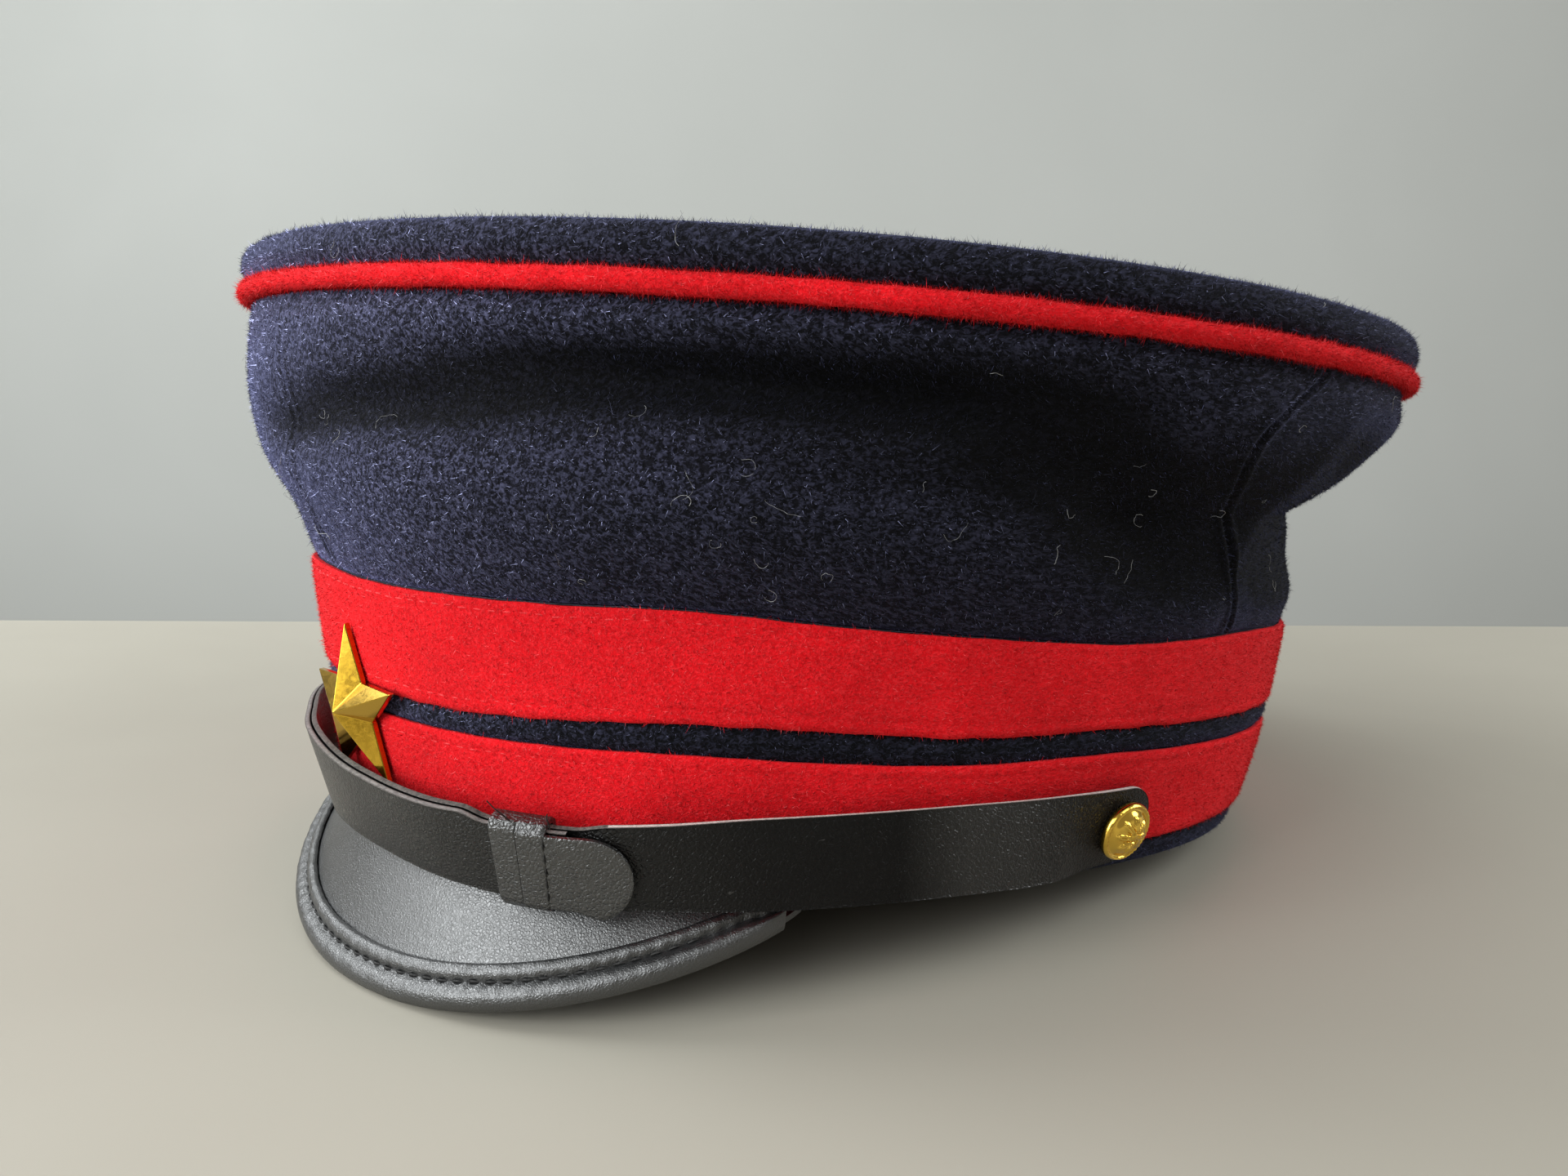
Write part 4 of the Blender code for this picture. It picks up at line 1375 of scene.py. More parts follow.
@dataclass(frozen=True)
class PlainFinish(Finish):
    """A matt material whose colour wanders a little, for threads, cut edges and the stage."""

    low: Colour
    high: Colour
    scale: float
    roughness: float
    relief: float = 0.0
    rough_spread: float = 0.05
    specular: float = 0.25

    def wire(self, wiring: Wiring, shader: Node) -> None:
        """Join the finish's nodes to the shader."""
        wander = wiring.noise(wiring.place(), self.scale, 3.0, 0.6, 0.3)
        rough = (self.roughness + self.rough_spread, self.roughness - self.rough_spread)
        wiring.fill(shader, {"Base Color": wiring.mix(wiring.ramp(wander, 0.35, 0.65), self.low, self.high),
                             "Roughness": wiring.ramp(wander, 0.3, 0.7, *rough),
                             "Specular IOR Level": self.specular})
        if self.relief:
            wiring.bump(shader, wander, self.relief)


NAVY_CLOTH = ClothFinish((0.0020, 0.0019, 0.0033), (0.0066, 0.0066, 0.0120), (0.082, 0.085, 0.152),
                         1500.0, 0.60, 0.30, (0.42, 0.47, 1.0), 0.30, shows_painted_light=True)
RED_CLOTH = ClothFinish((0.52, 0.0035, 0.0070), (0.72, 0.006, 0.012), (0.88, 0.045, 0.055),
                        2200.0, 0.35, 0.04, (1.0, 0.35, 0.34))
NAVY_FIBRE = FibreFinish((0.0026, 0.0025, 0.0046), (0.50, 0.53, 0.88), 0.18, (0.46, 0.50, 1.0))
RED_FIBRE = FibreFinish((0.60, 0.005, 0.009), (0.92, 0.12, 0.13), 0.0, (1.0, 0.5, 0.45))
STRAY_FIBRE = PlainFinish((0.16, 0.16, 0.18), (0.42, 0.42, 0.41), 400.0, 0.7)
# The strap's grain leather carries painted highlights in its specular level.
STRAP_LEATHER = LeatherFinish((0.0032, 0.0029, 0.0029), (0.0080, 0.0075, 0.0070), 1350.0, 0.30, 0.35, 0.00017,
                              specular=0.46, lint=0.05, paints_highlights=True)
FLAP_LEATHER = LeatherFinish((0.0060, 0.0058, 0.0056), (0.016, 0.015, 0.014), 1300.0, 0.33, 0.40, 0.00016,
                             specular=1.0, lint=0.05, ior=1.54)
PEAK_LEATHER = LeatherFinish((0.0075, 0.0080, 0.0084), (0.016, 0.017, 0.017), 1900.0, 0.33, 0.12, 0.00007,
                             specular=1.0, lint=0.05, ior=1.56)
STRAP_GILT = GiltFinish((0.86, 0.56, 0.09), (0.60, 0.35, 0.05), 0.13, 200.0, 0.000006)
STAR_GILT = GiltFinish((0.54, 0.33, 0.036), (0.49, 0.30, 0.031), 0.14, 90.0, 0.000002)
CUT_EDGE = PlainFinish((0.050, 0.047, 0.044), (0.12, 0.11, 0.10), 1500.0, 0.9, 0.0001)
PALE_CORE = PlainFinish((0.38, 0.33, 0.31), (0.56, 0.50, 0.47), 1300.0, 0.9, 0.00008)
GREY_CORE = PlainFinish((0.115, 0.110, 0.106), (0.21, 0.20, 0.19), 1300.0, 0.9, 0.00008)
BLACK_THREAD = PlainFinish((0.006, 0.006, 0.006), (0.022, 0.021, 0.020), 2500.0, 0.6, 0.00008)
RED_THREAD = PlainFinish((0.60, 0.012, 0.018), (0.78, 0.07, 0.075), 1800.0, 0.7, 0.00006)
INNER_CLOTH = ClothFinish((0.0060, 0.0065, 0.0110), (0.0130, 0.0140, 0.0230), (0.05, 0.055, 0.08),
                          1300.0, 0.35, 0.25, (0.5, 0.55, 0.7))
FLOOR = PlainFinish((0.342, 0.322, 0.272), (0.360, 0.340, 0.288), 6.0, 0.55)
WALL = PlainFinish((0.408, 0.420, 0.402), (0.426, 0.438, 0.420), 2.0, 0.9)


# Cloth pieces


@dataclass
class CrownSide:
    """The soft side of the crown, with its folds, seams and nap."""

    outer_rows: int = 46
    inner_rows: int = 14
    step: float = 0.85
    seam_step: float = 0.16
    seam_reach: float = 2.4
    warp_reach: float = 12.0
    nap: Nap = Nap(count=190000, shortest=0.34, longest=0.90, seed=3, long_share=0.06, pale_share=0.20)
    strays: StrayFibres = StrayFibres(count=120, seed=21)

    def columns(self) -> Array:
        """Return the angles of the mesh's columns, close together along the seams."""
        angles = np.arange(-180.0, 180.0, self.step)
        for seam in SEAMS:
            dense = np.arange(seam.middle - self.seam_reach, seam.middle + self.seam_reach, self.seam_step)
            far = np.abs(angles - seam.middle) > self.seam_reach + self.step / 2
            angles = np.concatenate((angles[far], dense))
        return np.sort(angles)

    def follow_seams(self, column: Array, height: Array) -> Array:
        """Shift columns so that those at a seam run along it.

        Args:
            column: The columns' own angles.
            height: Shares of the way up.

        Returns:
            Angles on the crown's side.
        """
        angle = column + 0.0 * height
        for seam in SEAMS:
            shift = SmoothTable(seam.course).at(1, height) - seam.middle
            angle = angle + shift * bell(column - seam.middle, self.warp_reach)
        return angle

    def outer(self, u: Array, v: Array) -> Array:
        """Return points of the outer face for two coordinates between 0 and 1."""
        return CROWN.side(full_turn(u), np.clip(v, 0.0, 1.0), 0.0)

    def build(self) -> None:
        """Build the cloth, its nap and a few stray fibres."""
        columns = self.columns()[:, None]
        heights = np.linspace(0.0, 1.0, self.outer_rows)[None, :]
        outer = CROWN.side(self.follow_seams(columns, heights), heights, 0.0)
        inner = CROWN.side(columns, np.linspace(1.0, 0.0, self.inner_rows)[None, :], BAND.cloth)
        maker = MeshMaker()
        finish = [0] * (self.outer_rows - 1) + [1] * (self.inner_rows + 1)
        maker.add_sections(np.concatenate((outer, inner), 1), True, finish)
        materials = materials_of("crown_side", wool=NAVY_CLOTH, back=INNER_CLOTH)
        cloth = maker.stand_in("crown_side", "cloth", materials, 60.0)
        # Painted light and shade on the cloth and its nap: lighter towards the lit side, painted shade in the
        # inward folds.
        tone = np.ones((len(columns), self.outer_rows + self.inner_rows))
        tone[:, :self.outer_rows] = PAINTED_NAP_LIGHT.pale(columns, CROWN.folds(columns, heights))
        paint(cloth.data, "bloom", tone)
        self.nap.grow("crown_side", self.outer, NAVY_FIBRE,
                      bloom=lambda u, v: PAINTED_NAP_LIGHT.pale(full_turn(u), CROWN.folds(full_turn(u), v)))
        self.strays.scatter("crown_side", self.outer)


@dataclass
class CrownTop:
    """The top panel with its rounded rim above the piping."""

    rim: Tuple[Tuple[float, float, float], ...] = (
        (0, -0.9, 0.0), (1, 0.3, 1.9), (2, 0.1, 4.2), (3, -1.2, 5.9), (4, -4.2, 6.6))
    inner_rim: Pairs = ((-4.6, 5.0), (-3.5, -2.7), (-2.8, -2.7), (-2.5, 0.0))
    top: float = 6.6
    sag: float = 3.2
    rim_rows: int = 18
    panel_rows: int = 20
    panel_start: float = 0.955
    panel_end: float = 0.012
    under_rows: int = 6
    columns: int = 400
    rim_share: float = 0.16
    base: float = CROWN.piping_radius + BAND.gap
    # Painted light in the middle of the panel.
    middle_pale: float = 0.9
    middle_nap: float = 0.42
    nap: Nap = Nap(count=190000, shortest=0.36, longest=0.98, seed=4, long_share=0.09, pale_share=0.14)
    strays: StrayFibres = StrayFibres(count=90, seed=22)

    def rise(self, angle: Array, share: Array) -> Array:
        """Return how high the panel's outer face lies above the piping at a share of the way out."""
        soft = 0.35 * ripple(angle, 31, (3, 5, 8)) * np.sin(math.pi * share) * share
        return self.base + self.top - self.sag * (1 - share * share) + soft

    def bloom(self, u: Array, v: Array) -> Array:
        """Return the painted light on the nap: lighter towards the lit side near the rim, even in the middle of
        the panel.
        """
        near_rim = 1 - smooth_step(v, self.rim_share, 0.5)
        return self.middle_pale + (PAINTED_NAP_LIGHT.pale(full_turn(u)) - self.middle_pale) * near_rim

    def outer(self, u: Array, v: Array) -> Array:
        """Return points of the outer face, from the rim's foot at v 0 to the middle at v 1."""
        angle = full_turn(u)
        v = np.clip(v, 0.0, 1.0)
        turn = np.clip(v / self.rim_share, 0.0, 1.0) * (len(self.rim) - 1)
        table = SmoothTable(self.rim)
        uneven = 0.16 * ripple(angle, 33, (19, 27, 38)) * np.sin(math.pi * np.clip(turn / 4, 0, 1))
        rim = CROWN.edge(angle, table.at(1, turn) + uneven, self.base + table.at(2, turn))
        way = np.clip((v - self.rim_share) / (1 - self.rim_share), 0.0, 1.0)
        share = self.panel_start + (self.panel_end - self.panel_start) * way
        panel = CROWN.inside(angle, share, self.rise(angle, share))
        return np.where((v < self.rim_share)[..., None], rim, panel)

    def build(self) -> None:
        """Build the cloth, its nap and a few stray fibres."""
        u = (np.arange(self.columns) / self.columns)[:, None]
        rim_v = np.linspace(0.0, self.rim_share * 0.999, self.rim_rows)
        panel_v = np.linspace(self.rim_share, 1.0, self.panel_rows)
        outer = self.outer(u, np.concatenate((rim_v, panel_v))[None, :])
        angle = full_turn(u)
        shares = np.linspace(self.panel_end, self.panel_start - 0.02, self.under_rows)[None, :]
        under = CROWN.inside(angle, shares, self.rise(angle, shares) - BAND.cloth)
        lip = np.stack([CROWN.edge(angle[:, 0], out, self.base + up) for out, up in self.inner_rim], 1)
        sections = np.concatenate((outer, under, lip), 1)
        size = sections.shape[1]
        last_outer = self.rim_rows + self.panel_rows - 1
        faces = [face for face in grid_faces(self.columns, size, True, True).tolist()
                 if face[0] % size != last_outer]
        finish = [0 if face[0] % size < last_outer else 1 for face in faces]
        ring = np.arange(self.columns) * size
        top_cap, under_cap = (ring + last_outer).tolist(), (ring + last_outer + 1).tolist()[::-1]
        if self._turns_with(faces, top_cap):
            top_cap, under_cap = top_cap[::-1], under_cap[::-1]
        maker = MeshMaker()
        maker.add(sections, faces + [top_cap, under_cap], finish + [0, 1])
        materials = materials_of("crown_top", wool=NAVY_CLOTH, back=INNER_CLOTH)
        cloth = maker.stand_in("crown_top", "cloth", materials, 60.0)
        places = np.concatenate((rim_v, panel_v, np.ones(self.under_rows), np.zeros(len(self.inner_rim))))
        # Painted light on the cloth and its nap.
        paint(cloth.data, "bloom", self.bloom(u, places[None, :]))
        self.nap.grow("crown_top", self.outer, NAVY_FIBRE,
                      lambda u, v: np.where(v < self.rim_share * 1.2, 1.0, self.middle_nap), self.bloom)
        self.strays.scatter("crown_top", self.outer)

    @staticmethod
    def _turns_with(faces: Sequence[Sequence[int]], cap: Sequence[int]) -> bool:
        """Return whether a cap runs along its first edge the same way as the face beside it."""
        edge = (cap[0], cap[1])
        return any(edge in zip(face, face[1:] + face[:1]) for face in faces)


@dataclass
class Piping:
    """The red cloth cord round the crown's edge."""

    columns: int = 640
    sides: int = 14
    nap: Nap = Nap(count=90000, shortest=0.40, longest=1.05, seed=5, pale_share=0.10, width=0.085,
                   long_share=0.10)

    def outer(self, u: Array, v: Array) -> Array:
        """Return points of the cord's outer half for two coordinates between 0 and 1."""
        return self.around(full_turn(u), math.pi * (v - 0.5) * 1.3)

    def around(self, angle: Array, turn: Array) -> Array:
        """Return points round the cord's section, at a turn from its outermost line."""
        uneven = 1.0 + 0.035 * ripple(angle, 41, (57, 74, 93)) + 0.03 * ripple(angle, 42, (11, 17))
        radius = CROWN.piping_radius * uneven
        wave = 0.07 * ripple(angle, 43, (23, 31, 39))
        return CROWN.edge(angle, radius * np.cos(turn) - CROWN.piping_inset, radius * np.sin(turn) + wave)

    def build(self) -> None:
        """Build the cord and its nap."""
        angle = even_angles(self.columns)
        turn = (2 * math.pi * np.arange(self.sides) / self.sides)[None, :]
        maker = MeshMaker()
        maker.add_sections(self.around(angle, turn), True)
        maker.stand_in("crown_piping", "cord", materials_of("crown_piping", wool=RED_CLOTH))
        self.nap.grow("crown_piping", self.outer, RED_FIBRE)


@dataclass
class BandCloth:
    """The navy cloth of the band: its hem, and the stripe that shows between the red strips."""

    columns: int = 460
    stripe_bulge: float = 0.95
    hem_bulge: float = 0.55
    shade: float = 0.75
    nap: Nap = Nap(count=32000, shortest=0.40, longest=1.0, seed=6, pale_share=0.12)

    def stand_out(self, angle: Array, height: Array) -> Array:
        """Return how far the cloth swells out between and below the red strips."""
        low, high = BAND.column("stripe_low", angle), BAND.column("stripe_high", angle)
        middle, half = (low + high) / 2, (high - low) / 2
        hem = BAND.hem * 0.5
        return (self.stripe_bulge * self.swell((height - middle) / half)
                + self.hem_bulge * self.swell((height - hem) / hem))

    @staticmethod
    def swell(share: Array) -> Array:
        """Return a round swell, from 1 in the middle to 0 at a share of 1 on either side."""
        return np.clip(1 - share ** 2, 0.0, 1.0) ** 0.6

    def outer(self, angle: Array, height: Array) -> Array:
        """Return points of the outer face at angles and heights."""
        return BAND.off(angle, height, self.stand_out(angle, height))

    def shown(self, u: Array, v: Array) -> Array:
        """Return points of the hem for v below a half, and of the stripe above it."""
        angle = full_turn(u)
        low, high = BAND.column("stripe_low", angle), BAND.column("stripe_high", angle)
        stripe = low + (high - low) * np.clip(v * 2 - 1, 0.02, 0.98)
        hem = BAND.hem * np.clip(v * 2, 0.04, 0.98)
        return self.outer(angle, np.where(v < 0.5, hem, stripe))

    def build(self) -> None:
        """Build the wall and the nap where it shows."""
        angle = even_angles(self.columns)
        low, high = BAND.column("stripe_low", angle), BAND.column("stripe_high", angle)
        top = BAND.column("top", angle)
        heights = [np.full_like(angle, height) for height in (0.25, 0.8, 1.6, 2.6, 3.6, 4.5, 9.0, 15.0, 20.0)]
        heights += [low + (high - low) * share for share in (0.0, 0.12, 0.3, 0.5, 0.7, 0.88, 1.0)]
        heights += [high + (top - high) * share for share in (0.3, 0.6, 0.85, 1.0)]
        rows = np.concatenate(heights, 1)
        outer = self.outer(angle, rows)
        foot = [BAND.off(angle, 0.0, offset) for offset in (-0.45, -1.15)]
        inner = [BAND.off(angle, height, -BAND.cloth) for height in (0.25, 8.0, 16.0, 24.0, 34.0, top)]
        sections = np.concatenate([outer] + inner[::-1] + foot[::-1], 1)
        maker = MeshMaker()
        finish = [0] * (rows.shape[1] - 1) + [1] * (len(inner) + 1) + [0] * len(foot)
        maker.add_sections(sections, True, finish)
        cloth = maker.stand_in("band", "cloth", materials_of("band", wool=NAVY_CLOTH, back=INNER_CLOTH))
        # Painted light and shade: the band's cloth and nap are painted darker than the crown's by shade, and
        # lighter towards the lit side.
        paint(cloth.data, "bloom", self.shade * PAINTED_NAP_LIGHT.pale(angle) + np.zeros(sections.shape[1]))
        self.nap.grow("band", self.shown, NAVY_FIBRE,
                      bloom=lambda u, v: self.shade * PAINTED_NAP_LIGHT.pale(full_turn(u)))


@dataclass(frozen=True)
class StitchLine:
    """A row of stitches of one thread."""

    pitch: float = 2.7
    length: float = 2.1
    radius: float = 0.16
    arch: float = 0.16
    sink: float = 0.12
    slip: float = 0.08
    stretch: Tuple[float, float] = (0.92, 1.06)
    sway: float = 0.05
    sides: int = 5
    seed: int = 8

    def sew(self, maker: MeshMaker, line: Array, outward: Array, finish: int = 0) -> None:
        """Lay the stitches along a line.

        Args:
            maker: Where the stitches go.
            line: Close points along the surface.
            outward: Directions out of the surface at those points.
            finish: The thread's material number.
        """
        run = run_along(line)
        rng = np.random.default_rng(self.seed)
        shape = np.linspace(0.0, 1.0, 5)
        lift = np.sin(np.pi * shape) * (self.arch + self.sink) - self.sink
        for start in np.arange(self.pitch / 2, run[-1] - self.length, self.pitch):
            places = start + rng.normal(0, self.slip) + self.length * rng.uniform(*self.stretch) * shape
            path = read_along(places, run, line)
            away = unit(read_along(places, run, outward))
            sway = unit(np.cross(away, np.gradient(path, axis=0))) * rng.normal(0, self.sway)
            maker.add_tube(path + away * lift[:, None] + sway, self.radius, self.sides, finish)


@dataclass
class RedStrip:
    """A red felt strip sewn round the band between two edges."""

    name: str
    low: Callable[[Array], Array]
    high: Callable[[Array], Array]
    stitched_up: Tuple[float, ...]
    stitched_down: Tuple[float, ...]
    seed: int
    columns: int = 900
    rows: int = 22
    groove: float = 0.26
    groove_reach: float = 0.6
    pulls: float = 230.0
    edge_round: float = 0.55
    edge_drop: float = 0.45
    uneven: float = 0.10
    most_buried: float = 0.17
    thread: StitchLine = StitchLine(radius=0.13, arch=0.10, sink=0.15)
    nap: Nap = Nap(count=80000, shortest=0.40, longest=1.10, seed=7, pale_share=0.12, width=0.11,
                   flat_lean=86.0, steep_lean=25.0, long_share=0.03)

    def edges(self, angle: Array) -> Tuple[Array, Array]:
        """Return the heights of the lower and upper edge, a little uneven as cut felt is."""
        low = self.low(angle) + self.uneven * ripple(angle, self.seed, (37, 53, 71))
        high = self.high(angle) - self.uneven * (1 + ripple(angle, self.seed + 1, (35, 49, 67))) * 0.5
        return low, high

    def at(self, angle: Array, share: Array) -> Array:
        """Return points of the outer face at a share of the way from the lower edge to the upper one."""
        angle, share = together(angle, share)
        low, high = self.edges(angle)
        height = low + (high - low) * share
        down, up = height - low, high - height
        depth = BAND.gap + BAND.red_thickness
        depth = depth - self.edge_drop * (bell(down, self.edge_round) + bell(up, self.edge_round))
        pull = self.groove * (0.75 + 0.25 * np.sin(np.radians(angle) * self.pulls))
        for place in self.stitched_up:
            depth = depth - pull * bell(down - place, self.groove_reach)
        for place in self.stitched_down:
            depth = depth - pull * bell(up - place, self.groove_reach)
        depth = depth + self.uneven * ripple(angle, self.seed + 2, (13, 21, 34)) * np.sin(math.pi * share)
        return BAND.off(angle, height, depth)

    def outer(self, u: Array, v: Array) -> Array:
        """Return points of the outer face for two coordinates between 0 and 1."""
        return self.at(full_turn(u), np.clip(v, 0.0, 1.0))

    def build(self) -> None:
        """Build the strip, its stitches and its nap."""
        angle = even_angles(self.columns)
        t = np.linspace(0.0, 1.0, self.rows)
        shares = (t + 0.5 * (1 - np.cos(math.pi * t))) / 2
        outer = self.at(angle, shares[None, :])
        low, high = self.edges(angle)
        back = np.concatenate([BAND.off(angle, edge, BAND.gap) for edge in (high, low)], 1)
        maker = MeshMaker()
        maker.add_sections(np.concatenate((outer, back), 1), True)
        maker.stand_in(self.name, "felt", materials_of(self.name, wool=RED_CLOTH), 60.0)
        self._sew()
        self.nap.grow(self.name, self.outer, RED_FIBRE)

    def _sew(self) -> None:
        """Sew the lines of stitches."""
        maker = MeshMaker()
        angle = np.linspace(-180.0, 179.4, 1400)
        low, high = self.edges(angle)
        span = high - low
        outward = BAND.outward(angle)
        buried = outward * np.interp(angle, (0.0, 50.0), (0.0, self.most_buried))[:, None]
        for place in self.stitched_up:
            self.thread.sew(maker, self.at(angle, place / span) - buried, outward)
        for place in self.stitched_down:
            self.thread.sew(maker, self.at(angle, 1 - place / span) - buried, outward)
        maker.add_on(self.name, "stitches", materials_of(self.name, thread=RED_THREAD))


# Leather pieces


@dataclass
class PeakSheet:
    """The peak's steep sheet, from a lip under the hem down into the binding."""

    columns: int = 141
    top_rows: int = 16
    under_rows: int = 8

    def build(self) -> None:
        """Build the sheet."""
        angle = PEAK.angles(PEAK.half_angle, self.columns)
        root, down, away, length = (part[:, None] for part in PEAK.line(angle))
        run = np.maximum(length - PEAK.binding_wall - PEAK.gap, 0.6)
        top = root + down * (run * np.linspace(0.0, 1.0, self.top_rows)[None, :])[..., None]
        back = root + down * (run * np.linspace(1.0, 0.35, self.under_rows)[None, :])[..., None]
        lip = [BAND.off(angle, -PEAK.lip_gap, offset) for offset in (-BAND.cloth, 0.0)]
        lip_low = BAND.off(angle, -PEAK.lip_gap - PEAK.thickness, -BAND.cloth) + down[:, 0] * PEAK.lip_step
        sections = np.concatenate((np.stack(lip, 1), top, back - away * PEAK.thickness, lip_low[:, None]), 1)
        maker = MeshMaker()
        maker.add_sections(sections, False)
        maker.stand_in("peak", "leather", materials_of("peak", grain=PEAK_LEATHER), 50.0)


@dataclass
class PeakBinding:
    """The leather folded over the peak's edge: a padded ridge, a stitched groove and a rolled edge."""

    columns: int = 340
    tall_rows: Pairs = (
        (1.0, 0.32), (0.985, 0.80), (0.95, 1.06), (0.89, 1.26), (0.82, 1.34), (0.75, 1.24), (0.69, 1.00),
        (0.645, 0.70), (0.61, 0.50), (0.575, 0.66), (0.535, 0.96), (0.48, 1.28), (0.41, 1.52), (0.33, 1.62),
        (0.25, 1.52))
    bead_rows: Pairs = (
        (1.15, 1.18), (0.62, 0.66), (0.22, 0.02), (0.0, -0.70), (0.18, -1.45), (0.62, -2.08), (1.3, -2.50),
        (2.1, -2.68))
    low_rows: Pairs = ((0.5, -2.70), (0.75, -2.70), (0.94, -2.66), (1.0, -2.2))
    groove_share: float = 0.61
    pucker: float = 0.13
    thread_lift: float = 0.62
    least_sewn: float = 11.0
    thread: StitchLine = StitchLine(pitch=3.0, length=2.2, radius=0.21, arch=0.20, sink=0.22, seed=9)

    def build(self) -> None:
        """Build the binding and its stitches."""
        angle = PEAK.angles(PEAK.half_angle, self.columns)
        angle = angle[np.abs(angle) <= PEAK.binding_half_angle]
        root, down, away, length = PEAK.line(angle)
        width = PEAK.binding_reach(length)
        edge = root + down * length[:, None]
        run = run_along(edge)
        beat = np.cos(2 * math.pi * (run - self.thread.pitch * 0.2) / self.thread.pitch)

        def place(back: Array, lift: Array) -> Array:
            """Return the row of points at a distance back from the edge and a lift off the face."""
            return root + down * (length - back)[:, None] + away * np.broadcast_to(lift, run.shape)[:, None]

        section = []
        for share, lift in self.tall_rows:
            near = bell(share - self.groove_share, 0.16)
            wave = 0.05 * np.sin(run * 0.9 + share * 9.0) + 0.04 * np.sin(run * 2.3 + share * 4.0)
            back = np.maximum(share * width, 1.2 + 0.4 * share)
            section.append(place(back, lift + self.pucker * near * beat + wave * (1 - near)))
        section += [place(back, lift) for back, lift in self.bead_rows]
        section += [place(np.maximum(share * width, 2.0), lift) for share, lift in self.low_rows]
        under = -PEAK.thickness - PEAK.gap
        section += [place(width, under), place(PEAK.binding_wall, under), place(PEAK.binding_wall, PEAK.gap)]
        maker = MeshMaker()
        maker.add_sections(np.stack(section, 1), False)
        maker.stand_in("peak_binding", "leather", materials_of("binding", grain=PEAK_LEATHER), 60.0)
        stitches = MeshMaker()
        keep = length > self.least_sewn
        course = place(self.groove_share * width, self.thread_lift)
        self.thread.sew(stitches, course[keep], away[keep])
        stitches.add_on("peak_binding", "stitches", materials_of("binding", thread=BLACK_THREAD))


class Layer(Enum):
    """The two halves of the chin strap."""

    OUTER = "strap_outer"
    INNER = "strap_inner"


@dataclass(frozen=True)
class StrapCut:
    """A stretch of strap: where it starts and ends, and whether its ends are round."""

    start: float
    end: float
    round_start: bool
    round_end: bool
    step: float = 0.5
    end_steps: int = 16

    def stations(self) -> Tuple[Array, Array]:
        """Return angles along the stretch and the strap's half width at each."""
        half = STRAP.width / 2
        turns = np.radians(np.linspace(1.5, 90.0, self.end_steps, endpoint=False))
        first = STRAP.reach(self.start, half) if self.round_start else self.start
        last = STRAP.reach(self.end, -half) if self.round_end else self.end
        middle = np.linspace(first, last, max(int((last - first) / self.step), 2))
        angles, halves = [middle], [np.full(len(middle), half)]
        if self.round_start:
            angles.insert(0, np.array([STRAP.reach(first, -half * math.cos(turn)) for turn in turns]))
            halves.insert(0, half * np.sin(turns))
        if self.round_end:
            angles.append(np.array([STRAP.reach(last, half * math.cos(turn)) for turn in turns[::-1]]))
            halves.append(half * np.sin(turns[::-1]))
        return np.concatenate(angles), np.concatenate(halves)


